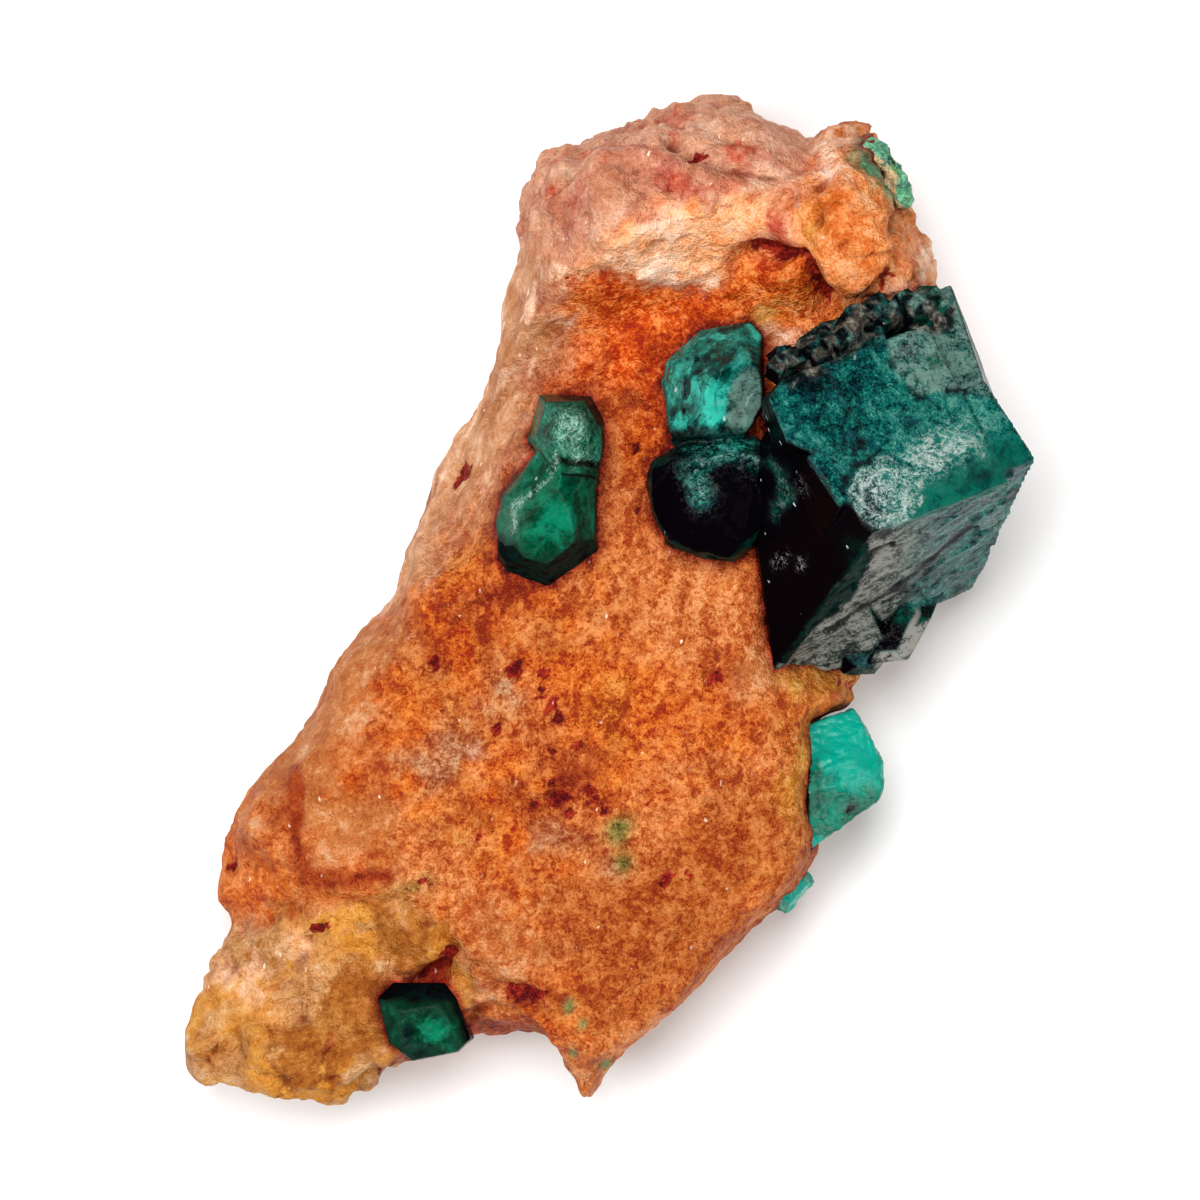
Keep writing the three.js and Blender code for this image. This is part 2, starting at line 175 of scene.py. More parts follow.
def spots(points, *places):
    """Several blobs added up, each place (strength, x, y, reach, stretch, turn)."""
    return sum(strength * blob(points, *place) for strength, *place in places)


def from_line(points, route):
    """Distance, seen from above, from each point to the nearest stretch of a route."""
    best = np.full(len(points), FAR)
    for (ax, ay), (bx, by) in zip(route[:-1], route[1:]):
        dx, dy = bx - ax, by - ay
        share = ((points[:, 0] - ax) * dx + (points[:, 1] - ay) * dy) / (dx * dx + dy * dy)
        share = np.clip(share, 0, 1)
        best = np.minimum(best, np.hypot(points[:, 0] - ax - share * dx, points[:, 1] - ay - share * dy))
    return best


def band(points, route, width):
    """A soft band along a route: exp(-d*d) with d the distance from it over `width`."""
    return np.exp(-(from_line(points, route) / width) ** 2)


def patch(points, corners, soft):
    """1 inside a many-sided patch seen from above and 0 outside, over an edge that reaches `soft`
    mm to each side. A point is inside if a line from it crosses the edge an odd number of times."""
    inside = np.zeros(len(points), bool)
    ring = corners + corners[:1]
    for (ax, ay), (bx, by) in zip(ring[:-1], ring[1:]):
        if ay != by:
            spans = (points[:, 1] < ay) != (points[:, 1] < by)
            inside ^= spans & (points[:, 0] < ax + (points[:, 1] - ay) * (bx - ax) / (by - ay))
    edge = from_line(points, ring)
    return ramp(np.where(inside, edge, -edge), -soft, soft)


def mesh_arrays(mesh):
    """Points and edges of a mesh, as whole arrays."""
    points = np.empty(len(mesh.vertices) * 3, np.float32)
    mesh.vertices.foreach_get("co", points)
    edges = np.empty(len(mesh.edges) * 2, np.int32)
    mesh.edges.foreach_get("vertices", edges)
    return points.reshape(-1, 3).astype(np.float64), edges.reshape(-1, 2)


def point_normals(mesh):
    """The way the surface looks at each point, as unit vectors."""
    normals = np.empty(len(mesh.vertices) * 3, np.float32)
    mesh.vertices.foreach_get("normal", normals)
    return normals.reshape(-1, 3).astype(np.float64)


def relaxed(values, edges, rounds, strength=0.5):
    """Points or values moved `strength` of the way to the mean of their neighbours, each round."""
    columns = values.reshape(len(values), -1)
    count = np.bincount(edges.ravel(), minlength=len(columns))[:, None]
    for _ in range(rounds):
        total = np.stack([np.bincount(edges[:, 0], column[edges[:, 1]], len(columns))
                          + np.bincount(edges[:, 1], column[edges[:, 0]], len(columns))
                          for column in columns.T], 1)
        columns = columns + strength * (total / count - columns)
    return columns.reshape(values.shape)


def set_points(mesh, points):
    """Puts the places of all points into a mesh."""
    mesh.vertices.foreach_set("co", points.astype(np.float32).ravel())
    mesh.update()


def set_value(mesh, name, values):
    """Puts a number for each point into a mesh, as a named attribute."""
    layer = mesh.attributes.get(name) or mesh.attributes.new(name, "FLOAT", "POINT")
    layer.data.foreach_set("value", values.astype(np.float32))


def set_colour(mesh, name, colours):
    """Puts a colour for each point into a mesh, as a named attribute."""
    layer = mesh.attributes.new(name, "FLOAT_COLOR", "POINT")
    opaque = np.ones((len(colours), 4), np.float32)
    opaque[:, :3] = colours
    layer.data.foreach_set("color", opaque.ravel())


def skin_of(mesh, spacing):
    """A new closed mesh laid over a closed mesh, its points about `spacing` apart. Solids that
    run into each other come out as one."""
    holder = bpy.data.objects.new("skin_holder", mesh)
    bpy.context.scene.collection.objects.link(holder)
    remesh = holder.modifiers.new("skin", "REMESH")
    remesh.mode = "VOXEL"
    remesh.voxel_size = spacing
    remesh.adaptivity = 0
    bpy.context.view_layer.update()
    shown = holder.evaluated_get(bpy.context.evaluated_depsgraph_get())
    skin = bpy.data.meshes.new_from_object(shown)
    bpy.data.objects.remove(holder)
    return skin


def finished_piece(name, mesh, material, node):
    """Moves a mesh from working millimetres into the frame, as a piece that replaces `node`.
    Points that would stand out of the frame's box are held at its sides."""
    points, _ = mesh_arrays(mesh)
    low, high = [np.array(corner) for corner in cad_box]
    set_points(mesh, np.clip((points + PLATE_MIDDLE) / MM_IN_METRE, low, high))
    mesh.shade_smooth()
    mesh.materials.clear()
    mesh.materials.append(material)
    mesh.name = name
    piece = bpy.data.objects.new(name, mesh)
    bpy.context.scene.collection.objects.link(piece)
    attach(piece, "root")
    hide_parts(node)
    return piece


def solid_copy(node):
    """A merged copy of a CAD node's mesh, in working millimetres."""
    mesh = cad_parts[node].data.copy()
    build = bmesh.new()
    build.from_mesh(mesh)
    bmesh.ops.remove_doubles(build, verts=build.verts, dist=MERGE_WITHIN)
    build.to_mesh(mesh)
    build.free()
    points, _ = mesh_arrays(mesh)
    set_points(mesh, points * MM_IN_METRE - PLATE_MIDDLE)
    return mesh


TIP_X = -0.6          # where the lower tip of the plate lies, from side to side, mm
SMOOTHING = 9         # rounds of smoothing of the skin before it is roughened
PIT_SPREAD = 1.4      # how far a pit's soft rim reaches, in radii
PIT_DEPTH = 1.2       # in radii
PORE_DEPTH = 0.34
SCAR = (-9.8, -6.3, 0.28, 0.07, 0.08)   # a small ring: its middle, radius, width and depth

# Patches and lines on the rock, seen from above, in working millimetres.
KNOB_FOOT = [(-0.6, 14.3), (1.3, 15.7), (2.3, 16.4), (4.6, 16.7), (5.2, 17.4), (6.2, 17.1),
             (6.7, 16.4), (8.0, 16.8), (8.5, 17.3), (8.2, 18.8), (8.6, 19.4)]
KNOB = KNOB_FOOT + [(10, 22), (-5, 22), (-5, 16)]
LEDGE = KNOB_FOOT[:7] + [(7.8, 15.4), (7.0, 14.6), (5.6, 15.0), (4.3, 13.9), (2.0, 13.5),
                         (0.4, 13.9)]
LEDGE_RIM = [(0.3, 14.4), (1.6, 13.9), (3.2, 13.7), (4.4, 14.1), (5.2, 15.0), (6.0, 15.2)]
LUMP = [(8.6, 19.6), (8.2, 18.8), (8.5, 17.3), (8.0, 16.8), (7.2, 15.6), (7.9, 14.6),
        (8.6, 13.6), (9.2, 12.7), (10.5, 12.4), (12, 12.7), (15, 12.4), (15, 16), (12, 21)]
LUMP_CRACK = [(6.1, 14.8), (6.9, 14.5), (7.7, 14.4), (8.3, 13.8), (8.6, 13.2), (9.1, 12.6)]
KNOB_GROOVE = [(6.9, 16.5), (7.6, 16.8), (8.3, 17.2), (8.8, 17.4)]
KNOB_CLEFT = [(8.6, 17.4), (8.2, 18.3), (8.4, 19.6)]
KNOB_VALLEY = [(2.8, 19.2), (3.9, 18.4), (5.2, 18.0), (6.4, 17.8), (7.6, 18.1)]
KNOB_FOLD = [(1.2, 18.5), (2.2, 19.1), (3.4, 18.3), (4.6, 17.5), (6.0, 17.3)]
PALE_SIDE = [(-0.6, 14.3), (-1.4, 12.8), (-1.9, 9.8), (-2.8, 7.9), (-3.8, 5.7), (-4.8, 4.2),
             (-6.5, 3.2), (-6.9, 1.5), (-8.2, 0.8), (-12, 1), (-10, 6), (-6, 12), (-5, 20),
             (-2.4, 18.0), (-1.6, 16.0)]
HONEY = [(-16.5, -12.6), (-14.2, -12.1), (-12.0, -11.3), (-10.6, -11.3), (-8.0, -11.2),
         (-6.4, -12.4), (-5.3, -13.6), (-5.0, -16.0), (-8.0, -20.0), (-18.5, -21.0), (-19, -14)]
STEP_LINE = [(-14.6, -12.4), (-12.4, -11.4), (-10.6, -11.4), (-8.0, -11.4), (-6.6, -12.6),
             (-5.3, -13.8), (-3.2, -15.0), (-2.3, -15.9)]
STAIN = [(-12.2, -6.0), (-12.3, -7.4), (-12.0, -9.2), (-11.8, -10.4), (-10.4, -10.3), (-8.6, -10.3)]
RECESS = [(-6.2, -13.4), (-6.5, -14.0), (-7.2, -14.5)]
FOOT_CRACK = [(-8.2, -17.6), (-8.5, -17.9), (-8.8, -18.4)]
VERDIGRIS_RIM = [(11.7, 18.5), (12.2, 17.6), (12.4, 16.8)]
VERDIGRIS_BAND = [(10.5, 18.8), (11.2, 18.1), (11.6, 17.3), (11.8, 16.8)]
LOWER_LEDGE = [(-5.2, -15.4), (-3.6, -15.8), (-2.4, -16.6), (-1.6, -17.8), (-3.4, -17.6),
               (-5.4, -17.4)]
PITS = [  # x, y, radius, drawn out, compass angle of its long way
    (-3.4, -1.9, 0.26, 1.8, 60), (-6.7, -1.7, 0.16, 1.6, 60), (-2.2, -2.0, 0.16, 1.5, 80),
    (-2.0, -3.4, 0.2, 2.0, 60), (-1.6, -3.9, 0.16, 1.5, 30), (-1.0, -5.1, 0.16, 1.0, 0),
    (-1.9, -5.3, 0.18, 1.0, 0), (-1.7, -7.2, 0.34, 1.3, 20), (-2.7, -7.4, 0.24, 1.0, 0),
    (-0.4, -6.9, 0.2, 2.4, -50), (-4.8, -8.9, 0.16, 1.0, 0), (-5.8, 5.9, 0.2, 2.6, 55),
    (-7.1, 6.3, 0.16, 2.0, 60), (2.7, -10.4, 0.22, 1.8, 70), (3.6, -10.2, 0.16, 1.2, 0),
    (4.6, -2.4, 0.2, 1.4, 30), (9.8, -2.6, 0.12, 1.0, 0), (9.4, -2.3, 0.1, 1.0, 0),
    (10.3, -2.7, 0.14, 1.0, 0), (10.6, -2.9, 0.12, 1.3, 80), (3.9, 18.5, 0.2, 1.5, 20),
    (4.9, 5.1, 0.2, 1.5, 0), (1.4, 6.9, 0.18, 1.5, 90), (1.6, 4.4, 0.16, 1.3, 20),
    (-1.2, 13.6, 0.12, 1, 0), (11.6, 13.6, 0.3, 1.6, 80), (-3.1, -15.1, 0.4, 2.0, 5),
    (-11.2, -12.4, 0.22, 1.5, 20), (-7.0, -10.6, 0.16, 1.4, 10), (-14.9, -9.9, 0.22, 1.5, 60),
    (2.0, -7.2, 0.14, 1, 0), (-2.3, -2.8, 0.14, 1.6, 70), (-4.0, -4.4, 0.12, 1.5, 20),
    (-1.2, -7.9, 0.16, 1.5, 40), (-2.1, -6.6, 0.13, 1.4, 80), (0.2, -7.6, 0.12, 1.5, 60)]


def streaked(points):
    """Places for noise that is drawn out along the pale side's streaks, which run up and to the
    right: the way along them shrinks to 0.14 of itself, the height to 0.4, and the way across
    wavers by a quarter of a millimetre."""
    along = points @ np.array([0.45, 0.87, 0.1])
    across = points @ np.array([0.89, -0.46, 0.0])
    return np.stack([across + 0.25 * waves(points, 2.0, 19), along * 0.14, points[:, 2] * 0.4], 1)


def rock_zones(points):
    """Where each kind of rock lies, from 0 to 1 at every point: patches, spots and lines seen
    from above, their edges shifted about and broken up by noise."""
    drift = wander(points, 2.2, 40)
    ragged = rough(points, 1.1, 47, 4, 0.65)
    crumbs = chunky(points, 0.38, 61)
    chips = points + 0.12 * drift + 0.30 * crumbs
    moved = points + 0.8 * drift + 0.5 * chunky(points, 0.9, 64) + 0.3 * crumbs
    upward = ramp(points[:, 2] + 1.2 * drift[:, 0], 2.0, 4.8)
    topmost = ramp(points[:, 2] + 1.5 * drift[:, 1], 4.5, 7.0)

    def broken(mask, amount=0.9):
        """The mask with its half-way parts broken up into flecks."""
        return np.clip(mask + amount * ragged * (1 - np.abs(2 * mask - 1)) * 2, 0, 1)

    def clouds(size, seed, low, high):
        """Soft clouds: noise at the moved places, from 0 at `low` to 1 at `high`."""
        return ramp(rough(moved, size, seed, 3), low, high)

    def streaks(size, seed, octaves, low, high):
        """The same for noise that is drawn out along the streaks."""
        return ramp(rough(streaked(points), size, seed, octaves, 0.6), low, high)

    knob = patch(moved, KNOB, 0.5)
    lump = patch(moved, LUMP, 0.4) * topmost
    ledge = patch(moved, LEDGE, 0.6) * topmost
    pale = np.maximum(patch(moved, PALE_SIDE, 1.1) * (1 - knob), 0.75 * (1 - upward))
    honey = patch(moved, HONEY, 0.6)
    _, _, facet = grains(moved, 1.5, 72)
    pits = np.zeros(len(points))
    for x, y, radius, stretch, turn in PITS:
        pits = np.maximum(pits, blob(chips, x, y, radius * PIT_SPREAD, stretch, turn))
    hollow = np.clip(1.35 * blob(moved, 3.0, 11.4, 3.4, 1.5, 15), 0, 1)
    peach = spots(moved, (1, -9.6, -1.8, 1.5, 1.5, 55), (1, -12.4, -5.4, 1.8, 1.8, 60),
                  (0.8, -9.6, -8.6, 2.0), (0.8, -4.2, -12.6, 1.6), (0.9, -4.6, -15.0, 0.8, 1.5, -40),
                  (0.6, 6.4, -2.2, 1.4), (0.5, -0.6, -18.6, 1.3)) + 0.6 * knob * clouds(1.3, 68, 0.05, 0.35)
    white = (0.8 * band(moved, LEDGE_RIM[:4], 0.35)
             + spots(moved, (0.9, 2.7, 15.1, 0.6, 1.5, 10), (0.55, -5.1, -5.3, 0.35, 1.4, 70),
                     (0.7, -13.9, -13.9, 1.3, 1.4, 20), (0.9, 9.3, 18.9, 0.7, 1.3, 0),
                     (0.8, 13.4, 14.4, 0.5, 2.5, -60), (0.7, 12.2, 12.9, 0.6, 2.0, 0),
                     (0.6, 7.2, 11.3, 0.4, 1.8, 0), (0.6, 6.9, 17.6, 0.5, 1.5, 30))
             + 0.6 * pale * (1 - knob) * streaks(0.36, 224, 3, 0.08, 0.28))
    brown = spots(moved, (1, 1.6, -12.6, 3.4, 1.5, 30), (0.45, -2.2, -0.3, 2.6, 1.4, 0),
                  (0.45, -7.0, -2.6, 2.0, 1.3, 50), (0.7, 5.6, -8.4, 2.4, 1.6, 60),
                  (0.6, -1.5, -7.6, 2.6), (0.5, -6.5, -8.2, 2.0, 1.5, 20))
    lilac = spots(moved, (1, -5.9, -5.3, 1.1, 1.7, 15), (0.9, -2.0, -8.8, 0.8, 1.5, 20),
                  (0.7, 0.6, -9.6, 0.9), (0.5, -3.6, -2.6, 0.9))
    gold = (spots(moved, (1, 8.1, -5.9, 0.7, 2.2, 75), (0.9, 9.2, -1.9, 1.2, 1.5, 20),
                  (0.9, -14.0, -16.3, 1.4), (0.8, 6.6, 12.2, 0.8), (0.8, 8.5, 15.8, 0.6),
                  (0.7, -10.6, -13.2, 1.5, 1.4, 20))
            + honey * ramp(0.6 * clouds(1.7, 66, -0.05, 0.22) + 0.7 * (facet > 0.66), 0.4, 0.7))
    amber = (spots(moved, (1.2, -11.9, -17.0, 1.0, 1.5, 20), (1.3, -9.4, -15.4, 0.9, 1.7, 70),
                   (1.1, -8.2, -12.7, 0.9, 1.6, -30), (0.6, -11.2, -12.9, 0.5, 1.6, 30),
                   (0.7, -10.4, -17.6, 0.7, 1.5, 40), (0.5, -15.6, -14.6, 0.5, 1.6, 60))
             + 0.3 * honey * clouds(1.1, 69, 0.12, 0.34) + 0.6 * honey * (facet < 0.16))
    olive = (spots(points + 0.5 * drift, (1.3, 0.9, -8.3, 0.5, 1.2, 70), (1.2, 1.0, -9.7, 0.4, 1.2, 80))
             + 0.6 * blob(moved, -7.6, -10.9, 0.5, 1.5, 20))
    green = spots(points, (1, -1.25, -15.5, 0.2, 1.8, 80), (1, -0.7, -16.2, 0.16, 1.4, 70),
                  (1, -1.1, -17.4, 0.18), (1, 0.3, -17.9, 0.2, 1.3, 30))
    rust = (1.1 * band(points + 0.25 * drift, STAIN, 0.3) + 0.35 * band(moved, STEP_LINE, 0.4)
            + spots(moved, (0.6, -12.9, -7.8, 0.6, 2.2, 80), (0.8, -1.6, -6.9, 1.6),
                    (0.6, 0.6, 9.0, 1.8, 1.6, 80), (0.5, 4.8, -2.6, 1.0), (0.5, -5.0, 0.6, 1.5, 2, 20),
                    (0.6, -7.2, -14.4, 0.8, 1.6, 20), (0.6, -5.2, -15.3, 0.5, 1.5, 80))
            + 0.7 * patch(moved, LOWER_LEDGE, 0.4))
    red = spots(moved, (0.9, 2.8, 20.1, 0.35, 1.8, 100), (0.9, 8.3, 18.7, 0.5, 1.5, 70),
                (0.8, 2.4, 16.1, 0.35, 2.4, 10), (0.7, -1.0, 17.2, 0.5, 1.6, 50),
                (0.6, 3.1, 17.4, 0.5, 2.0, 0), (0.8, 6.8, 15.2, 0.6, 1.5, 60),
                (0.7, 12.8, 13.3, 0.35, 2.5, -60), (0.5, 5.2, 17.4, 0.4, 2.0, 20))
    # Dark marks: pits, partly their own crimson and partly painted shade; painted shadow under the lump's
    # overhang, in the recess, along the knob's valley and in the gap beside the large crystal; and dark
    # cracks and a groove.
    dark = np.maximum.reduce([
        pits, 1.1 * band(chips, LUMP_CRACK, 0.30), 0.8 * band(points, FOOT_CRACK, 0.07),
        0.5 * band(points + 0.2 * drift, KNOB_GROOVE, 0.10), 1.0 * band(chips, RECESS, 0.3),
        0.35 * band(points + 0.3 * drift, KNOB_VALLEY, 0.2),
        1.1 * blob(points, 6.75, 8.3, 0.42, 2.4, 80)])
    vein = 0.8 * streaks(0.9, 223, 3, -0.05, 0.3) + 0.5 * streaks(0.4, 225, 2, 0.05, 0.25)
    verdigris = (blob(chips, 11.5, 18.6, 0.55, 1.4, -35) + band(chips, VERDIGRIS_RIM, 0.16)
                 + 0.9 * band(chips, VERDIGRIS_BAND, 0.4))
    mauve = (spots(moved, (0.9, 3.0, 17.3, 0.6, 1.7, 0), (0.8, -1.3, 17.2, 0.5, 1.5, 60),
                   (0.7, -0.8, 16.0, 0.6, 1.6, 80), (0.5, -3.0, 16.2, 0.5, 2, 80), (0.5, 1.0, 18.4, 1.2))
             + 0.7 * honey * blob(moved, -13.4, -18.2, 1.5, 2.0, -10)
             + 0.45 * pale * clouds(1.6, 73, 0.0, 0.3) + 0.7 * knob * clouds(1.3, 67, 0.08, 0.35))
    return {
        "knob": knob,
        "lump": lump,
        "ledge": broken(ledge, 0.35),
        "pale": broken(pale, 0.5),
        "honey": broken(honey, 0.8),
        "hollow": hollow * (1 - knob) * (1 - ledge),
        "peach": broken(np.clip(peach, 0, 1)),
        "white": broken(np.clip(white, 0, 1)),
        "brown": broken(np.clip(brown, 0, 1)),
        "lilac": broken(np.clip(lilac, 0, 1)),
        "gold": broken(np.clip(gold, 0, 1)),
        "amber": broken(ramp(amber, 0.42, 0.78), 0.5),
        "olive": np.clip(olive, 0, 1),
        "green": np.clip(green, 0, 1),
        "rust": broken(np.clip(rust, 0, 1)),
        "red": broken(np.clip(red + 0.4 * knob * clouds(0.9, 70, 0.22, 0.40), 0, 0.7)),
        "dark": np.clip(dark, 0, 1),
        "vein": vein * broken(pale, 0.8) * (1 - knob) * 0.8,
        "verdigris": np.clip(verdigris, 0, 1) * ramp(points[:, 2] + 2.0 * ragged, 7.0, 9.0),
        "mauve": np.clip(mauve, 0, 1),
    }


ROCK_TONES = {   # dark, middle and light of each kind of rock
    "orange": [(0.27, 0.014, 0.000), (0.52, 0.094, 0.005), (0.72, 0.215, 0.034)],
    "salmon": [(0.32, 0.042, 0.004), (0.53, 0.140, 0.028), (0.73, 0.29, 0.105)],
    "ochre": [(0.23, 0.034, 0.001), (0.49, 0.125, 0.011), (0.68, 0.27, 0.052)],
    "brown": [(0.22, 0.018, 0.000), (0.38, 0.080, 0.008), (0.53, 0.175, 0.042)],
    "peach": [(0.34, 0.070, 0.012), (0.50, 0.165, 0.042), (0.68, 0.37, 0.20)],
    "lilac": [(0.22, 0.034, 0.008), (0.35, 0.112, 0.040), (0.55, 0.30, 0.16)],
    "hollow": [(0.37, 0.020, 0.000), (0.65, 0.088, 0.002), (0.92, 0.28, 0.070)],
    "amber": [(0.20, 0.040, 0.001), (0.37, 0.115, 0.013), (0.56, 0.25, 0.070)],
    "pale": [(0.39, 0.130, 0.044), (0.59, 0.265, 0.115), (0.76, 0.47, 0.30)],
    "vein": [(0.24, 0.062, 0.014), (0.41, 0.145, 0.050), (0.56, 0.28, 0.12)],
    "knob": [(0.46, 0.160, 0.075), (0.63, 0.290, 0.165), (0.80, 0.48, 0.34)],
    "mauve": [(0.30, 0.060, 0.036), (0.48, 0.160, 0.100), (0.64, 0.32, 0.22)],
    "lump": [(0.52, 0.090, 0.005), (0.70, 0.215, 0.052), (0.84, 0.41, 0.19)],
    "ledge": [(0.70, 0.19, 0.040), (0.92, 0.42, 0.190), (0.98, 0.60, 0.37)],
    "honey": [(0.31, 0.110, 0.018), (0.51, 0.240, 0.085), (0.70, 0.47, 0.29)],
    "red": [(0.34, 0.022, 0.010), (0.50, 0.085, 0.042), (0.70, 0.25, 0.14)],
    "gold": [(0.40, 0.115, 0.003), (0.59, 0.235, 0.030), (0.70, 0.37, 0.105)],
    "white": [(0.68, 0.30, 0.14), (0.88, 0.55, 0.37), (0.96, 0.76, 0.64)],
    "rust": [(0.15, 0.007, 0.001), (0.29, 0.033, 0.002), (0.46, 0.100, 0.020)],
    "olive": [(0.04, 0.035, 0.005), (0.17, 0.130, 0.022), (0.38, 0.28, 0.080)],
    "green": [(0.09, 0.14, 0.04), (0.14, 0.22, 0.07), (0.36, 0.28, 0.10)],
    "verdigris": [(0.09, 0.10, 0.02), (0.03, 0.24, 0.12), (0.24, 0.43, 0.24)],
}
LAID_OVER = ["brown", "peach", "lilac", "hollow", "pale", "vein", "knob", "mauve", "lump", "ledge",
             "honey", "gold", "amber", "red", "white", "rust", "olive", "green", "verdigris"]


def rock_colours(points, zones):
    """The dark, the middle and the light colour of the rock at every point: orange, salmon and
    ochre mixed by noise, then each zone's own colours laid over them in turn."""
    hue = 0.45 + 1.3 * rough(points, 3.2, 240, 4, 0.6) + 0.5 * rough(points, 0.7, 245, 2)
    hue -= 0.7 * blob(points, -2.2, -0.3, 2.6, 1.4, 0) + 0.6 * blob(points, -7.0, -2.6, 2.0, 1.3, 50)
    other = 0.1 - 0.5 * blob(points, -2.2, -0.3, 2.6, 1.4, 0) + 1.5 * rough(points, 2.6, 250, 4, 0.6)
    hue, other = ramp(hue, 0.0, 1.0)[:, None], ramp(other, 0.1, 0.9)[:, None]
    mixed = []
    for step in range(3):
        tones = {kind: np.array(ROCK_TONES[kind][step]) for kind in ROCK_TONES}
        colour = tones["orange"] * (1 - hue) + tones["salmon"] * hue
        colour = colour * (1 - other) + tones["ochre"] * other
        for zone in LAID_OVER:
            amount = zones[zone][:, None]
            colour = colour * (1 - amount) + tones[zone] * amount
        mixed.append(colour)
    return mixed


def rock_relief(points, zones):
    """Height of the relief over the smooth skin, in mm: low swells everywhere, broken flats on
    the honey end, the right lump and the knob, streaks along the pale side, the knob's folds,
    cracks, pores and pits, and a fine grain over all of it."""
    upward = ramp(points[:, 2], 3.0, 5.5)
    crumbly = np.clip(0.14 * zones["honey"] + 0.75 * zones["lump"] + 0.12 * zones["ledge"]
                      + 0.25 * zones["rust"] + 0.5 * zones["dark"] + 0.14, 0, 1)
    waver = waves(points, 0.8, 9)[:, None]
    relief = 0.20 * rough(points, 3.2, 1, 3) + 0.12 * rough(points, 1.0, 5, 3)
    # Soft blocks and broken flats on the honey end.
    soft_blocks = (ramp(rough(points, 2.0, 28, 2), -0.2, 0.2)
                   + 0.6 * ramp(rough(points, 0.9, 29, 2), -0.15, 0.15))
    relief += (0.17 * (soft_blocks - 0.8)
               + 0.26 * shards(points + 0.3 * waver, 1.5, 33)) * zones["honey"]
    # Broken flats and grains where the rock crumbles, and streaks along the pale side.
    bent = points + 0.35 * waver
    near, far, _ = grains(points, 0.75, 15)
    relief += (0.35 * shards(bent, 1.6, 11) + 0.22 * shards(bent, 0.7, 12)
               + 0.14 * (far - near) - 0.05) * crumbly
    drawn = streaked(points)
    relief += (0.40 * rough(drawn, 0.8, 21, 3) + 0.16 * rough(drawn, 0.35, 22, 2)) * zones["pale"]
    # The knob: swells, flats and creases, a fold and the valley, groove and clefts beside it.
    crease = 1 - ramp(np.abs(rough(points, 1.9, 27, 2)), 0.0, 0.09)
    relief += (0.30 * rough(points, 2.2, 25, 3) + 0.13 * rough(points, 0.8, 26, 3)
               + 0.28 * shards(bent, 1.2, 34) + 0.14 * shards(bent, 0.6, 36)
               - 0.20 * crease) * zones["knob"]
    relief += (0.35 * band(points, KNOB_FOLD, 0.5) - 0.45 * band(points, KNOB_VALLEY, 0.35)) * upward
    relief -= (0.25 * band(points, KNOB_GROOVE, 0.3) + 0.9 * band(points, LUMP_CRACK, 0.38)
               + 0.5 * band(points, KNOB_CLEFT, 0.5)) * upward
    relief += 0.25 * band(points, LEDGE_RIM, 0.4) * upward
    # Single lumps, hollows, steps and a small round scar.
    relief -= 0.6 * blob(points, -15.4, -12.3, 0.8)
    relief -= 0.9 * blob(points, 9.0, -4.4, 0.9)
    relief += 0.5 * blob(points, 9.1, 13.9, 0.8, 1.4, 0) + 0.4 * blob(points, 9.0, 16.9, 0.7)
    relief -= 0.5 * blob(points, 8.5, 15.8, 0.6) + 0.4 * zones["rust"] * blob(points, 8.0, 18.6, 1.0)
    relief -= 0.6 * band(points, RECESS, 0.45) + 0.25 * band(points, STEP_LINE, 0.35)
    relief -= 0.5 * patch(points, LOWER_LEDGE, 0.25)
    x, y, radius, width, depth = SCAR
    ring = np.hypot(points[:, 0] - x, points[:, 1] - y) - radius
    relief -= depth * np.exp(-(ring / width) ** 2) * upward
    # Pores and pits, then the fine grain.
    near, _, label = grains(points, 1.3, 31)
    busy = ramp(rough(points, 3.0, 35, 2), -0.1, 0.3)
    pores = (1 - ramp(near, 0.05, 0.28)) * (label > 0.45) * busy
    relief -= PORE_DEPTH * pores * upward * (1 - zones["honey"]) * (1 - 0.7 * zones["knob"])
    for x, y, radius, stretch, turn in PITS:
        relief -= PIT_DEPTH * radius * blob(points, x, y, radius * PIT_SPREAD, stretch, turn)
    near, far, label = grains(points, 0.40, 51)
    lively = 1 - 0.2 * zones["knob"] - 0.5 * zones["pale"] - 0.3 * zones["honey"]
    relief += (0.08 * (label - 0.5) + 0.09 * (far - near) + 0.09 * rough(points, 0.45, 53, 2)) * lively
    return relief - 0.10


def grow_rock():
    """The rock's mesh: a dense skin over its solid, smoothed, drawn in towards the lower tip and
    raised by its relief, which fades out at the table. The material reads its zones and colours."""
    mesh = skin_of(solid_copy("matrix"), ROCK_SKIN)
    points, edges = mesh_arrays(mesh)
    points = relaxed(points, edges, SMOOTHING)
    pinch = ramp(-points[:, 1], 16.2, 19.6) * ramp(points[:, 0], -3.5, -2.0)
    points[:, 0] += (TIP_X - points[:, 0]) * 0.55 * pinch
    set_points(mesh, points)
    zones = rock_zones(points)
    off_table = ramp(points[:, 2], 0.05, 0.9)
    relief = relaxed(rock_relief(points, zones), edges, 1) * off_table
    set_points(mesh, points + point_normals(mesh) * relief[:, None])
    for name, colours in zip(("dark_tone", "middle_tone", "light_tone"), rock_colours(points, zones)):
        set_colour(mesh, name, colours)
    set_value(mesh, "dark", zones["dark"])
    set_value(mesh, "calm", np.clip(zones["pale"] + zones["knob"] + zones["honey"] + 0.8 * zones["ledge"]
                                    + 0.6 * zones["lump"] + 0.6 * zones["peach"]
                                    + 0.5 * ramp(-points[:, 0], 6.5, 10.0), 0, 1))
    # Painted shade in the hollows of the relief: how far each point lies below its smoothed neighbours.
    set_value(mesh, "hollow_shade", relaxed(relief, edges, 12) - relief)
    # The painted contact shade round the crystals starts at nothing; each crystal adds its own.
    set_value(mesh, "contact_shade", np.zeros(len(points)))
    return mesh


def new_material(name):
    """A material, its shader, and short ways to add nodes to it."""
    material = bpy.data.materials.new(name)
    material.use_nodes = True
    return material, material.node_tree.nodes["Principled BSDF"], Wiring(material.node_tree)


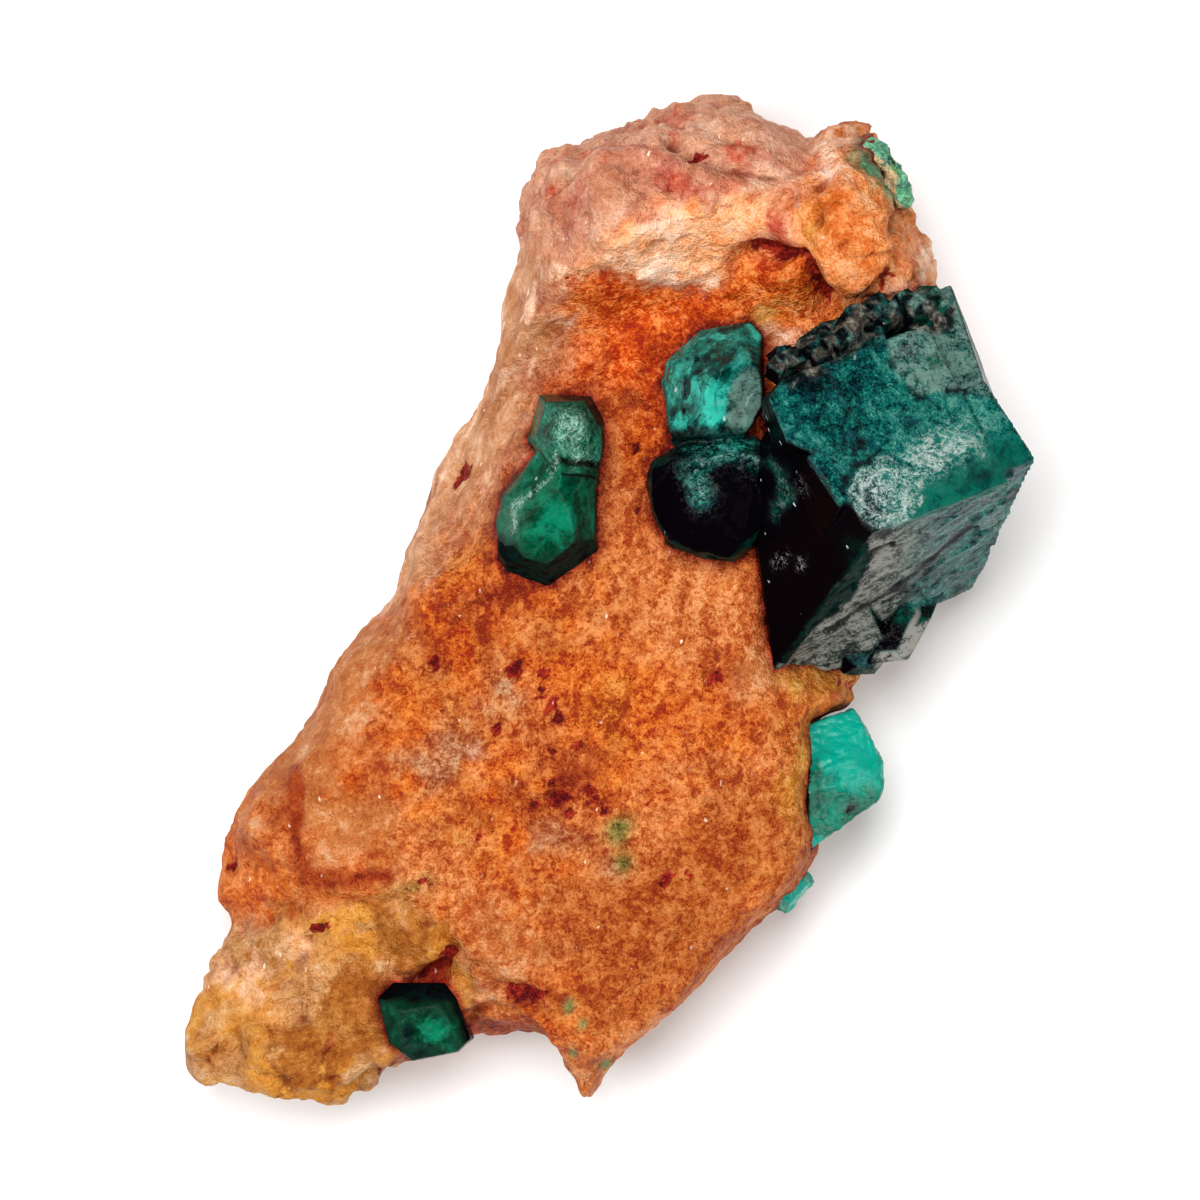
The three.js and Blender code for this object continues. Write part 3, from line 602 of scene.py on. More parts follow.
class Wiring:
    """Short ways to add nodes to one tree and join them up."""

    def __init__(self, tree):
        self.nodes = tree.nodes
        self.links = tree.links

    def put(self, socket, value):
        """Joins a socket to another one, or sets it to a number or a colour."""
        if isinstance(value, bpy.types.NodeSocket):
            self.links.new(value, socket)
        elif isinstance(value, tuple) and len(value) == 3 and socket.type == "RGBA":
            socket.default_value = (*value, 1)
        else:
            socket.default_value = value

    def node(self, kind, **values):
        """A node of a kind, with some of its inputs joined or set, under their names in lower case."""
        node = self.nodes.new("ShaderNode" + kind)
        for name, value in values.items():
            self.put(node.inputs[name.replace("_", " ").title()], value)
        return node

    def place(self):
        """Where each spot lies on the piece, in metres."""
        return self.node("TexCoord").outputs["Object"]

    def attribute(self, name, kind="Fac"):
        """What the mesh says at each spot under a name."""
        node = self.node("Attribute")
        node.attribute_name = name
        return node.outputs[kind]

    def noise(self, vector, per_metre, detail=3.0, roughness=0.55, warp=0.0):
        """Cloudy noise from 0 to 1, with so many clouds in a metre."""
        return self.node("TexNoise", vector=vector, scale=per_metre, detail=detail,
                         roughness=roughness, distortion=warp).outputs["Fac"]

    def cells(self, vector, per_metre):
        """Round cells, with so many in a metre: the distance from the middle, and a random colour."""
        return self.node("TexVoronoi", vector=vector, scale=per_metre).outputs

    def shifted(self, vector, per_metre, amount):
        """The place moved about by noise, at most half of `amount` metres each way."""
        noise = self.node("TexNoise", vector=vector, scale=per_metre, detail=1.0)
        move = self.node("VectorMath")
        move.operation = "MULTIPLY_ADD"
        self.put(move.inputs[0], noise.outputs["Color"])
        move.inputs[1].default_value = (amount, amount, amount)
        self.put(move.inputs[2], vector)
        return move.outputs[0]

    def stretched(self, vector, scale, turn=(0, 0, 0), kind="POINT"):
        """The place scaled and turned or, where the kind is "TEXTURE", the pattern itself."""
        node = self.node("Mapping", vector=vector, scale=scale, rotation=turn)
        node.vector_type = kind
        return node.outputs["Vector"]

    def sum(self, operation, a, b=0.0, c=0.0, clamp=False):
        """One step of arithmetic."""
        node = self.node("Math")
        node.operation = operation
        node.use_clamp = clamp
        for socket, value in zip(node.inputs, (a, b, c)):
            self.put(socket, value)
        return node.outputs[0]

    def total(self, parts, shift=0.0):
        """The sum of sockets, each times its weight, and a shift."""
        value = shift
        for socket, weight in parts:
            value = self.sum("MULTIPLY_ADD", socket, weight, value)
        return value

    def spread(self, value, low, high, to_low=0.0, to_high=1.0):
        """A smooth rise from `to_low` at `low` to `to_high` at `high`."""
        node = self.node("MapRange", value=value, from_min=low, from_max=high, to_min=to_low,
                         to_max=to_high)
        node.interpolation_type = "SMOOTHSTEP"
        return node.outputs["Result"]

    def slope(self, value, low, high):
        """A straight rise from 0 at `low` to 1 at `high`."""
        return self.sum("MULTIPLY_ADD", value, 1 / (high - low), -low / (high - low), clamp=True)

    def blend(self, amount, a, b):
        """The number `a` where the amount is 0 and `b` where it is 1, on the number sockets."""
        node = self.node("Mix", factor=amount)
        self.put(node.inputs[2], a)
        self.put(node.inputs[3], b)
        return node.outputs[0]

    def mix(self, amount, a, b):
        """The colour `a` where the amount is 0 and `b` where it is 1, on the colour sockets."""
        node = self.node("Mix", factor=amount)
        node.data_type = "RGBA"
        self.put(node.inputs[6], a)
        self.put(node.inputs[7], b)
        return node.outputs[2]

    def tones(self, value, colours):
        """A run of three colours, from dark to light, picked by a value from 0 to 1."""
        node = self.node("ValToRGB", fac=value)
        steps = node.color_ramp.elements
        steps.new(0.5)
        for step, stop, colour in zip(steps, (0.18, 0.5, 0.82), colours):
            step.position = stop
            step.color = (*colour, 1)
        return node.outputs["Color"]

    def bump(self, height, distance, strength):
        """The way the surface looks once it is raised by a height."""
        return self.node("Bump", strength=strength, distance=distance, height=height).outputs["Normal"]


def rock_material():
    """The look of the rock: its own three tones picked by noise, clouded on the calm parts and
    full of grains and crumbs elsewhere, dark in pits and cracks, partly their own crimson and partly
    painted shade, with painted shade in the hollows and round the crystals, and a few painted glints."""
    material, shader, add = new_material("iron_stained_rock")
    at = add.place()
    drift = add.noise(at, 560, 2, 0.6)
    blotch = add.noise(at, 1600, 2, 0.6)
    fleck = add.noise(at, 4200, 3, 0.65)
    dust = add.noise(at, 11000, 1, 0.6)
    bent = add.shifted(at, 2600, 0.00030)
    chunk = add.cells(bent, 1400)
    grain = add.cells(bent, 3300)
    crumb = add.cells(bent, 7000)
    parts = [drift, blotch, fleck, dust, chunk["Color"], grain["Color"], crumb["Color"]]
    lively = add.total(zip(parts, (1.05, 0.85, 1.20, 1.00, 0.36, 0.50, 0.50)), -2.25)
    calm = add.total(zip(parts, (1.1, 0.85, 0.65, 0.55, 0.10, 0.22, 0.26)), -1.40)
    sugar = add.total([(fleck, 0.80), (dust, 0.45), (grain["Distance"], -0.22),
                       (chunk["Distance"], -0.15)])
    tone = add.blend(add.attribute("calm"), lively, calm)
    colour = add.mix(add.slope(tone, 0.10, 0.5), add.attribute("dark_tone", "Color"),
                     add.attribute("middle_tone", "Color"))
    colour = add.mix(add.slope(tone, 0.5, 0.95), colour, add.attribute("light_tone", "Color"))
    # Painted shade: the pits and cracks, the hollows of the relief and the rock round the crystals are
    # darkened towards deep crimson; the pits and cracks are partly their own colour.
    sharp = add.total([(add.attribute("dark"), 1.0), (fleck, 0.9)], -0.45)
    low = add.sum("MAXIMUM", add.spread(sharp, 0.38, 0.62),
                  add.spread(add.attribute("hollow_shade"), 0.05, 0.26, 0, 0.7))
    low = add.sum("MAXIMUM", low, add.attribute("contact_shade"))
    colour = add.mix(low, colour, add.tones(tone, [(0.06, 0.000, 0.000), (0.19, 0.004, 0.002),
                                                   (0.38, 0.03, 0.008)]))
    # Painted glints: small warm white spots where grains would catch the light.
    shaken = add.shifted(add.shifted(at, 1800, 0.0003), 6000, 0.00012)
    glint_cells = add.cells(add.stretched(shaken, (1, 0.5, 1), (0.3, 0.2, 0.7)), 1900)
    painted_glints = add.sum("MULTIPLY", add.spread(glint_cells["Distance"], 0.12, 0.04),
                     add.spread(glint_cells["Color"], 0.45, 0.85))
    colour = add.mix(add.sum("MULTIPLY", painted_glints, 0.85), colour, (0.95, 0.75, 0.55))
    add.put(shader.inputs["Base Color"], colour)
    add.put(shader.inputs["Roughness"], add.spread(fleck, 0.3, 0.7, 0.45, 0.8))
    shader.inputs["Specular IOR Level"].default_value = 0.15
    shader.inputs["IOR"].default_value = 1.5
    add.put(shader.inputs["Normal"], add.bump(sugar, 0.00026, 0.9))
    return material


rock = finished_piece("matrix_rock", grow_rock(), rock_material(), "matrix")

# ---------------------------------------------------------------- large crystal
# The largest dioptase crystal, deep green and glassy, with the smaller ones that have grown into
# it, rooted in the rock. A block is a centre and its faces, each a compass angle and a rise, in
# degrees, for the way it looks, and its distance from the centre in mm.

CRYSTAL_SKIN = 0.075                    # spacing of the points of a crystal's skin, mm
LARGE_SKIN = 0.103                      # the same for the large crystal
NEARLY_FLAT = 1e-4                      # three faces flatter together than this make no corner
TOUCHING = 1e-5                         # a corner no farther out of a face than this is on it, mm
ON_FACE = 0.85                          # share of its way to the flat face that a point is moved
WORN_WIDTH = 0.12                       # how far the wear of an edge reaches, mm
CONTACT_SHADE_WIDTH = 0.26                      # how far the painted contact shade round a crystal reaches, mm
BLACK_SHADE_FROM = 0.8                        # how much painted black shade a face needs to take the black material
REFRACTION = 1.66
# The black painted on the crystals for shade.
SHADE_BLACK = (0.0015, 0.0008, 0.0018)
# The marks that a crystal's finish reads, each from 0 to 1, the shade from -1 to 1. Painted light among
# them: the glow, the grey sheen, the black for shade (with dark cracks), the chips as glints, and the
# shade, which lightens or darkens the tone, partly as painted shade.
MARKS = ["frost", "combed", "painted_glow", "painted_sheen", "shade", "clear", "black_shade_and_cracks", "chips", "earth", "worn"]


def rhomb(top, lower, left, turn=0, deeper=0):
    """The six faces of the usual block, three opposite pairs, turned by `turn` degrees."""
    pairs = [(50.6, 60.2, top), (-60.1, 17.5, lower), (-155, 32.8, left),
             (-129.4, -60.2, top + deeper), (119.9, -17.5, lower), (25, -32.8, left)]
    return [(compass + turn, rise, distance) for compass, rise, distance in pairs]


def facing(compass, rise):
    """The way a face looks: a unit vector from its compass angle and rise in degrees."""
    compass, rise = np.radians(compass), np.radians(rise)
    return np.stack([np.cos(rise) * np.cos(compass), np.cos(rise) * np.sin(compass),
                     np.sin(rise)], -1)


def block_planes(faces):
    """The ways that a block's faces look and their distances, as two arrays."""
    table = np.array(faces, float)
    return facing(table[:, 0], table[:, 1]), table[:, 2]


def block_corners(at, faces):
    """Corners of a convex block: the points where three of its faces meet inside the rest."""
    normals, distance = block_planes(faces)
    count = len(faces)
    triples = np.array([(i, j, k) for i in range(count) for j in range(i) for k in range(j)])
    systems = normals[triples]
    sound = np.abs(np.linalg.det(systems)) > NEARLY_FLAT
    corners = np.linalg.solve(systems[sound], distance[triples[sound]][..., None])[..., 0]
    inside = (corners @ normals.T <= distance + TOUCHING).all(axis=1)
    return corners[inside] + np.array(at)


def blocks_mesh(name, blocks):
    """The blocks of one crystal as closed hulls in one mesh."""
    build = bmesh.new()
    for at, faces in blocks:
        verts = [build.verts.new(corner) for corner in block_corners(at, faces)]
        hull = bmesh.ops.convex_hull(build, input=verts)
        loose = [v for v in set(hull["geom_interior"] + hull["geom_unused"])
                 if isinstance(v, bmesh.types.BMVert)]
        bmesh.ops.delete(build, geom=loose, context="VERTS")
    bmesh.ops.recalc_face_normals(build, faces=build.faces)
    mesh = bpy.data.meshes.new(name)
    build.to_mesh(mesh)
    build.free()
    return mesh


def facets(points, blocks):
    """For each point the signed distance to the joined blocks, the way the nearest face looks,
    and how far the face's nearest edge is. A block's distance is the largest of its faces'
    distances, and the joined distance is the smallest of the blocks'."""
    depth = np.full(len(points), FAR)
    edge = np.zeros(len(points))
    looks = np.zeros((len(points), 3))
    for at, faces in blocks:
        normals, distance = block_planes(faces)
        away = (points - np.array(at)) @ normals.T - distance
        order = np.argsort(away, axis=1)
        top = np.take_along_axis(away, order[:, -1:], 1)[:, 0]
        second = np.take_along_axis(away, order[:, -2:-1], 1)[:, 0]
        closer = top < depth
        edge = np.where(closer, top - second, np.minimum(edge, top - depth))
        looks = np.where(closer[:, None], normals[order[:, -1]], looks)
        depth = np.where(closer, top, depth)
    return depth, looks, edge


def crystal_skin():
    """The finish that every crystal shares, as a group: its colour, with a painted glow, a painted
    grey sheen and black painted for shade in it, its roughness and fine relief, and where its
    painted glints lie, from noise and from the marks that each crystal carries."""
    tree = bpy.data.node_groups.new("crystal_skin", "ShaderNodeTree")
    for name in ("Body dark", "Body", "Body light", "Painted glow", "Frost"):
        tree.interface.new_socket(name, in_out="INPUT", socket_type="NodeSocketColor")
    tree.interface.new_socket("Colour", in_out="OUTPUT", socket_type="NodeSocketColor")
    for name in ("Roughness", "Height", "Painted glints"):
        tree.interface.new_socket(name, in_out="OUTPUT", socket_type="NodeSocketFloat")
    add = Wiring(tree)
    given = tree.nodes.new("NodeGroupInput").outputs
    result = tree.nodes.new("NodeGroupOutput").inputs
    at = add.place()
    cloud = add.noise(at, 520, 3, 0.6, 0.6)
    mottle = add.noise(at, 1500, 3, 0.65, 0.6)
    fleck = add.noise(at, 4200, 3, 0.7, 0.8)
    dust = add.noise(at, 11000, 2, 0.6)
    grown = add.noise(add.stretched(at, (2.8, 1, 1), (0, -0.17, 0.576), "TEXTURE"), 2300, 4, 0.65, 0.4)
    crossed = add.noise(add.stretched(at, (3, 1, 1), (0, 0.46, 0.36), "TEXTURE"), 3200, 3, 0.65, 0.3)
    painted_sheen = add.attribute("painted_sheen")
    shade = add.attribute("shade")
    tone = add.total([(cloud, 1.3), (mottle, 1.8), (fleck, 2.0), (dust, 1.6), (shade, 1.0)], -2.85)
    tone = add.blend(add.attribute("clear"), tone,
                     add.total([(cloud, 1.0), (mottle, 0.8), (shade, 1.0)], -0.4))
    colour = add.mix(add.spread(tone, 0.0, 0.33), (0.0, 0.004, 0.005), given["Body dark"])
    colour = add.mix(add.spread(tone, 0.33, 0.66), colour, given["Body"])
    colour = add.mix(add.spread(tone, 0.66, 1.1), colour, given["Body light"])
    bluer = add.noise(add.shifted(at, 900, 0.0006), 2100, 3, 0.65)
    bluer = add.sum("MULTIPLY", add.spread(bluer, 0.50, 0.66, 0, 0.6),
                    add.sum("SUBTRACT", 1.0, add.attribute("clear")))
    colour = add.mix(bluer, colour, (0.003, 0.050, 0.070))
    # Painted glow: a lighter green where light seems to shine from inside the crystal.
    painted_glow = add.attribute("painted_glow")
    lit = add.total([(tone, 1.0), (painted_glow, 0.85)], -0.45)
    lit = add.sum("MULTIPLY", add.spread(lit, 0.0, 0.9), add.spread(painted_glow, 0.0, 0.25))
    colour = add.mix(lit, colour, given["Painted glow"])
    grain = add.total([(cloud, 0.8), (grown, 1.7), (crossed, 1.3), (mottle, 1.8), (fleck, 2.0),
                       (dust, 1.3), (shade, 1.0)], -4.0)
    # Painted sheen: grey tones that stand in for the reflection on a face.
    sheen_tones = add.tones(grain, [(0.010, 0.013, 0.010), (0.100, 0.103, 0.084), (0.25, 0.25, 0.22)])
    colour = add.mix(painted_sheen, colour, sheen_tones)
    earthy = add.total([(mottle, 1.4), (fleck, 1.6)], -1.1)
    earthy = add.tones(earthy, [(0.012, 0.010, 0.009), (0.095, 0.085, 0.066), (0.25, 0.23, 0.19)])
    colour = add.mix(add.attribute("earth"), colour, earthy)
    curl = add.noise(add.shifted(at, 700, 0.0008), 2300, 3, 0.55, 2.6)
    combed = add.stretched(add.shifted(at, 900, 0.0005), (3.2, 1, 1), (0, 0.1, 0.47), "TEXTURE")
    strand = add.noise(combed, 3600, 3, 0.55, 0.8)
    frost = add.attribute("frost")
    ridge = add.blend(add.spread(add.attribute("combed"), 0.3, 0.7), curl, strand)
    ridge = add.sum("ABSOLUTE", add.sum("SUBTRACT", ridge, 0.5))
    ridge = add.spread(ridge, 0.0, 0.13, 1.0, 0.0)
    lace = add.total([(ridge, 0.50), (fleck, 1.5), (dust, 0.8), (mottle, 1.3), (frost, 0.8)], -2.25)
    lace = add.sum("MULTIPLY", add.spread(lace, 0.0, 1.0), add.spread(frost, 0.02, 0.45), clamp=True)
    colour = add.mix(lace, colour, given["Frost"])
    # Painted black where a face stands for shade, and along dark cracks.
    colour = add.mix(add.attribute("black_shade_and_cracks"), colour, SHADE_BLACK)
    # Painted glints: small bright spots where chips of the crystal would catch the light.
    bent = add.shifted(add.shifted(at, 420, 0.0011), 1500, 0.00030)
    glint_spot = add.stretched(add.shifted(bent, 7000, 0.00012), (1, 0.6, 1), (0.5, 0.3, 0.2))
    glint_spot = add.cells(glint_spot, 1500)
    chips = add.sum("MULTIPLY", add.spread(glint_spot["Distance"], 0.13, 0.06),
                    add.sum("GREATER_THAN", glint_spot["Color"], 0.74))
    chips = add.sum("MULTIPLY", chips, add.attribute("chips"))
    add.put(result["Painted glints"], chips)
    add.put(result["Colour"], add.mix(chips, colour, (0.75, 0.80, 0.78)))
    dull = add.sum("MAXIMUM", add.sum("MULTIPLY", lace, 0.9), add.sum("MULTIPLY", painted_sheen, 0.8))
    add.put(result["Roughness"], add.total([(dull, 0.4), (add.spread(mottle, 0.4, 0.7, 0.14, 0.36), 1.0),
                                            (add.attribute("worn"), 0.35)]))
    add.put(result["Height"], add.total([(mottle, 0.7), (fleck, 0.7), (lace, 0.5),
                                         (add.sum("MULTIPLY", grown, painted_sheen), 1.2)]))
    return tree


crystal_finish = crystal_skin()


def crystal_glass(name, specular):
    """A material of dioptase: its shader, the shared finish placed in it, and its nodes."""
    material, shader, add = new_material(name)
    skin = add.node("Group")
    skin.node_tree = crystal_finish
    shader.inputs["IOR"].default_value = REFRACTION
    shader.inputs["Specular IOR Level"].default_value = specular
    return material, shader, skin, add


def crystal_material(name, colours, absorb, density, transmission):
    """Glass-like stuff: tinted where it starts, then darkened with depth."""
    material, shader, skin, add = crystal_glass(name, 0.035)
    for socket, colour in colours.items():
        skin.inputs[socket].default_value = (*colour, 1)
    add.put(shader.inputs["Base Color"], skin.outputs["Colour"])
    add.put(shader.inputs["Roughness"], skin.outputs["Roughness"])
    add.put(shader.inputs["Normal"], add.bump(skin.outputs["Height"], 0.00006, 0.8))
    shader.inputs["Transmission Weight"].default_value = transmission
    inside = add.nodes.new("ShaderNodeVolumeAbsorption")
    inside.inputs["Color"].default_value = (*absorb, 1)
    inside.inputs["Density"].default_value = density
    add.put(add.nodes["Material Output"].inputs["Volume"], inside.outputs["Volume"])
    return material


def dark_glass():
    """Faces painted black for shade and for the dark that they reflect: nearly black green where a
    glow is painted, grey where frost and painted hazy reflections lie, with painted glints."""
    material, shader, skin, add = crystal_glass("shade_black_dioptase", 0.003)
    at = add.place()
    haze = add.spread(add.noise(at, 2600, 3, 0.65, 0.5), 0.30, 0.60)
    rime = add.spread(add.noise(at, 3800, 3, 0.6, 1.5), 0.50, 0.62)
    colour = add.mix(add.sum("MULTIPLY", add.attribute("painted_glow"), haze), SHADE_BLACK, (0.002, 0.080, 0.052))
    colour = add.mix(add.sum("MULTIPLY", add.attribute("frost"), rime), colour, (0.30, 0.30, 0.32))
    colour = add.mix(skin.outputs["Painted glints"], colour, (0.70, 0.76, 0.74))
    add.put(shader.inputs["Base Color"], colour)
    add.put(shader.inputs["Roughness"], add.spread(add.noise(at, 1800, 3), 0.35, 0.7, 0.10, 0.32))
    add.put(shader.inputs["Normal"], add.bump(add.noise(at, 1300, 3, 0.6), 0.00008, 0.5))
    return material


shade_black_glass = dark_glass()


def grow_crystal(name, node, blocks, material, marks, spacing=CRYSTAL_SKIN, soften=0):
    """A crystal from its blocks: a dense skin over them, its points brought back to the flat
    faces, then the relief and marks that are worked out for it. The rock round it is darkened by
    painted contact shade, which dies away as exp(-d) with d the distance from it over the shade's width."""
    mesh = skin_of(blocks_mesh(name, blocks), spacing)
    points, edges = mesh_arrays(mesh)
    depth, looks, edge = facets(points, blocks)
    points = points - looks * np.clip(depth, -spacing, spacing)[:, None] * ON_FACE
    points = relaxed(points, edges, 1 + soften, 0.35)
    values, relief = marks(points, looks)
    relief = relief + 0.012 * rough(points, 0.5, 71, 3)
    set_points(mesh, points + looks * relaxed(relief, edges, 1)[:, None])
    values["worn"] = np.exp(-(edge / WORN_WIDTH) ** 2)
    for mark in MARKS:
        values[mark] = values.get(mark, 0.0) + np.zeros(len(points))
        set_value(mesh, mark, relaxed(values[mark], edges, 1))

    # Painted contact shade: the rock is darkened round the crystal, the more the nearer it lies.
    on_rock = mesh_arrays(rock.data)[0] * MM_IN_METRE - PLATE_MIDDLE
    near, _, _ = facets(on_rock, blocks)
    contact_shade = np.empty(len(on_rock), np.float32)
    rock.data.attributes["contact_shade"].data.foreach_get("value", contact_shade)
    ragged = 1 + 0.5 * rough(on_rock, 0.8, 77, 2)
    new_contact_shade = 0.95 * np.exp(-np.clip(near - 0.06, 0, 9) / CONTACT_SHADE_WIDTH * ragged)
    set_value(rock.data, "contact_shade", np.maximum(contact_shade, new_contact_shade))

    finished_piece(name, mesh, material, node)
    # Faces painted black enough for shade take the black material.
    mesh.materials.append(shade_black_glass)
    black_shade_and_cracks = relaxed(values["black_shade_and_cracks"], edges, 2)
    corners = np.empty(len(mesh.loops), np.int32)
    mesh.loops.foreach_get("vertex_index", corners)
    shares = np.empty(len(mesh.polygons), np.int32)
    mesh.polygons.foreach_get("loop_total", shares)
    starts = np.concatenate([[0], np.cumsum(shares)[:-1]])
    face_black_shade = np.add.reduceat(black_shade_and_cracks[corners], starts) / shares
    mesh.polygons.foreach_set("material_index", (face_black_shade > BLACK_SHADE_FROM).astype(np.int32))


deep_green = crystal_material("deep_green_dioptase", {
    "Body dark": (0.001, 0.030, 0.030), "Body": (0.003, 0.120, 0.095), "Body light": (0.070, 0.25, 0.20),
    "Painted glow": (0.000, 0.105, 0.066), "Frost": (0.45, 0.53, 0.49)}, (0.0, 0.75, 0.55), 600, 0.08)


def striped(points, way, width, seed):
    """Growth lines along a way: noise that is stretched about eight times that way."""
    way = np.array(way) / np.linalg.norm(way)
    along = points @ way
    across = points - along[:, None] * way
    return rough(across + 0.12 * along[:, None] * way, width, seed, 3, 0.6)


LOWER_CRACKS = [[(9.6, -0.2), (10.5, 0.5), (11.2, 0.9), (12.2, 1.5)],
                [(11.8, 1.2), (13.0, 2.3), (15.0, 3.7)],
                [(12.2, 1.5), (12.1, 1.2), (11.4, 0.7)], [(10.6, 2.6), (11.6, 3.0)]]
TOP_DRUSE = [(7.6, 10.1), (8.6, 10.7), (9.5, 11.2), (10.2, 12.0), (11.2, 12.3), (12.3, 12.4), (13.3, 12.2)]
ROUNDED_EDGE = [(10.7, 3.5), (10.65, 2.4), (10.4, 1.5), (10.0, 0.75), (9.2, 0.1), (8.4, -0.6),
                (7.3, -1.85), (6.5, 0.0), (9.0, 3.5)]
TOP_WAY, LOWER_WAY, LEFT_WAY = facing(50.6, 60.2), facing(-60.1, 17.5), facing(-155, 32.8)
TOP_REACH = 19.85                       # how far along its way the top face lies, mm
TOP_PLATE = [(11.5, 10.3), (11.9, 9.7), (12.6, 8.8), (13.4, 9.1), (14.5, 9.0), (15.6, 8.8),
             (17, 10), (15, 14), (11, 13)]


def large_crystal_marks(points, looks):
    """Top face mottled, frosted in a swirl and a sheaf, with a low plate at its upper end, a painted
    glow and painted shadow; lower face painted with a grey sheen, with growth lines, cracked, green
    at its right end; left face and sides painted black for shade."""
    top = ramp(looks @ TOP_WAY, 0.8, 0.95)
    top = np.maximum(top, ramp(points @ TOP_WAY, 19.45, 19.65) * ramp(looks[:, 2], 0.1, 0.3))
    lower = ramp(looks @ LOWER_WAY, 0.8, 0.95) * ramp(points @ LOWER_WAY, 6.3, 6.7) * (1 - top)
    left = ramp(looks @ LEFT_WAY, 0.75, 0.92) * (1 - top)
    drift = wander(points, 1.2, 90)
    moved = points + 0.45 * drift
    lines = striped(points, (0.83, 0.54, 0.17), 0.5, 101)
    # The top face: a curled swirl and a combed sheaf of frost, a bright part with a painted glow, and dark
    # bites and a dark ring of painted shadow.
    ring = np.hypot(points[:, 0] - 11.3, points[:, 1] - 5.0) + 0.35 * rough(points, 0.8, 97, 3)
    swirl = ((1 - ramp(ring, 1.15, 1.55)) * (0.70 + 0.30 * np.cos(ring * 14) * ramp(ring, 0.2, 0.5))
             * (0.75 + 0.25 * ramp(11.6 - points[:, 0] - points[:, 1] + 5.0, -0.8, 0.8)))
    sheaf = 0.9 * blob(moved, 13.6, 6.75, 0.9, 1.9, 28)
    bright = np.clip(blob(moved, 14.6, 5.3, 0.9, 2.2, 30) + 0.8 * blob(moved, 16.2, 6.3, 0.9), 0, 1)
    bitten = ramp(rough(points, 0.5, 98, 3), -0.25, 0.15)
    shadow = np.clip(spots(moved, (0.9, 8.3, 9.3, 0.32, 1.8, 75), (0.9, 9.6, 8.2, 0.30, 1.8, 70),
                           (0.5, 10.4, 7.2, 0.3), (0.9, 11.0, 3.5, 0.35))
                     + np.exp(-((ring - 1.62) / 0.13) ** 2) * ramp(11.8 - points[:, 0], 0, 1.0),
                     0, 1) * bitten
    # The edge of the plate, with painted shadow along its step and a painted sheen on the plate, the cracks
    # of the lower face, and the relief of both.
    plate = patch(points + 0.10 * drift, TOP_PLATE, 0.06)
    step = band(points + 0.30 * drift, TOP_PLATE[:5], 0.17) * bitten
    cracks = np.zeros(len(points))
    for route in LOWER_CRACKS:
        cracks = np.maximum(cracks, band(points + 0.12 * drift, route, 0.09))
    seam = np.clip(shadow + step + 1.2 * cracks * lower, 0, 1)
    relief = top * (0.01 * plate - 0.04 * np.clip(shadow + step, 0, 1)
                    + 0.05 * rough(points, 0.5, 93, 2) + 0.06 * rough(points, 1.6, 96, 2))
    relief += lower * (0.05 * lines + 0.03 * np.floor(lines * 3.5) / 3.5
                       + 0.12 * shards(moved, 1.3, 94) - 0.08 * cracks)
    relief += (1 - top) * (1 - lower) * 0.03 * rough(points, 0.8, 99, 2)
    # The druse along the upper side, then the small facets at the foot, painted black or with a grey sheen,
    # and the rounded edge, painted black for shade.
    inner = np.minimum(from_line(points, TOP_DRUSE), 9) + 0.2 * rough(points, 0.8, 107, 2)
    crowd = ramp(1.0 - inner, 0.0, 0.3) * ramp(points[:, 1], 8.6, 9.4)
    _, _, bit = grains(points, 0.45, 109)
    green_side = ramp(points[:, 0] + 0.8 * rough(points, 1.5, 106, 2), 11.2, 14.0)
    foot_part = ramp(-points[:, 1] - 0.35 * (points[:, 0] - 11), -0.5, 0.0) * ramp(points[:, 0], 10.6, 11.0)
    black_facet = patch(points, [(11.0, -1.25), (12.1, 0.06), (12.3, 0.1), (12.2, -0.5),
                                 (11.95, -1.25)], 0.05)
    wedge = patch(points, [(12.85, 0.6), (13.7, 0.7), (13.3, 0.08), (12.7, -0.22)], 0.05)
    low_bit = patch(points, [(9.9, -1.15), (11.2, -1.2), (11.3, -2.4), (9.6, -2.4)], 0.1)
    grey_facet = patch(points, [(11.0, -1.28), (11.95, -1.22), (12.2, -0.5), (12.7, 0.5), (12.9, 0.3),
                                (12.7, -0.2), (13.3, 0.08), (12.8, -1.9), (10.95, -1.9)], 0.05)
    # Painted black for shade: the left face, the sides, the dark facets at the foot and the rounded edge,
    # with the painted shadow of the bites and the step; also the dark cracks of the lower face and dark
    # grains of the druse.
    black_shade_and_cracks = np.clip(0.99 * left + 0.75 * top * shadow + 0.7 * top * step + 0.8 * lower * cracks
                    + crowd * ramp(bit, 0.72, 0.8)
                    + 0.97 * (1 - top) * (1 - lower) * (1 - crowd) * ramp(16.0 - points[:, 0], 0, 1.0)
                    + 0.95 * (black_facet * (1 - top) + wedge), 0, 1) * (1 - grey_facet)
    rounded = patch(points + 0.06 * drift, ROUNDED_EDGE, 0.08) * lower
    black_shade_and_cracks = np.maximum(black_shade_and_cracks, 0.97 * rounded)
    inner_strip = rounded + 0.6 * band(moved, [(10.2, 3.0), (10.3, 1.8), (9.7, 0.8)], 0.4)
    rim = band(moved, [(6.3, 6.5), (7.0, 5.9), (7.4, 5.0), (6.9, 4.3)], 0.22) * left
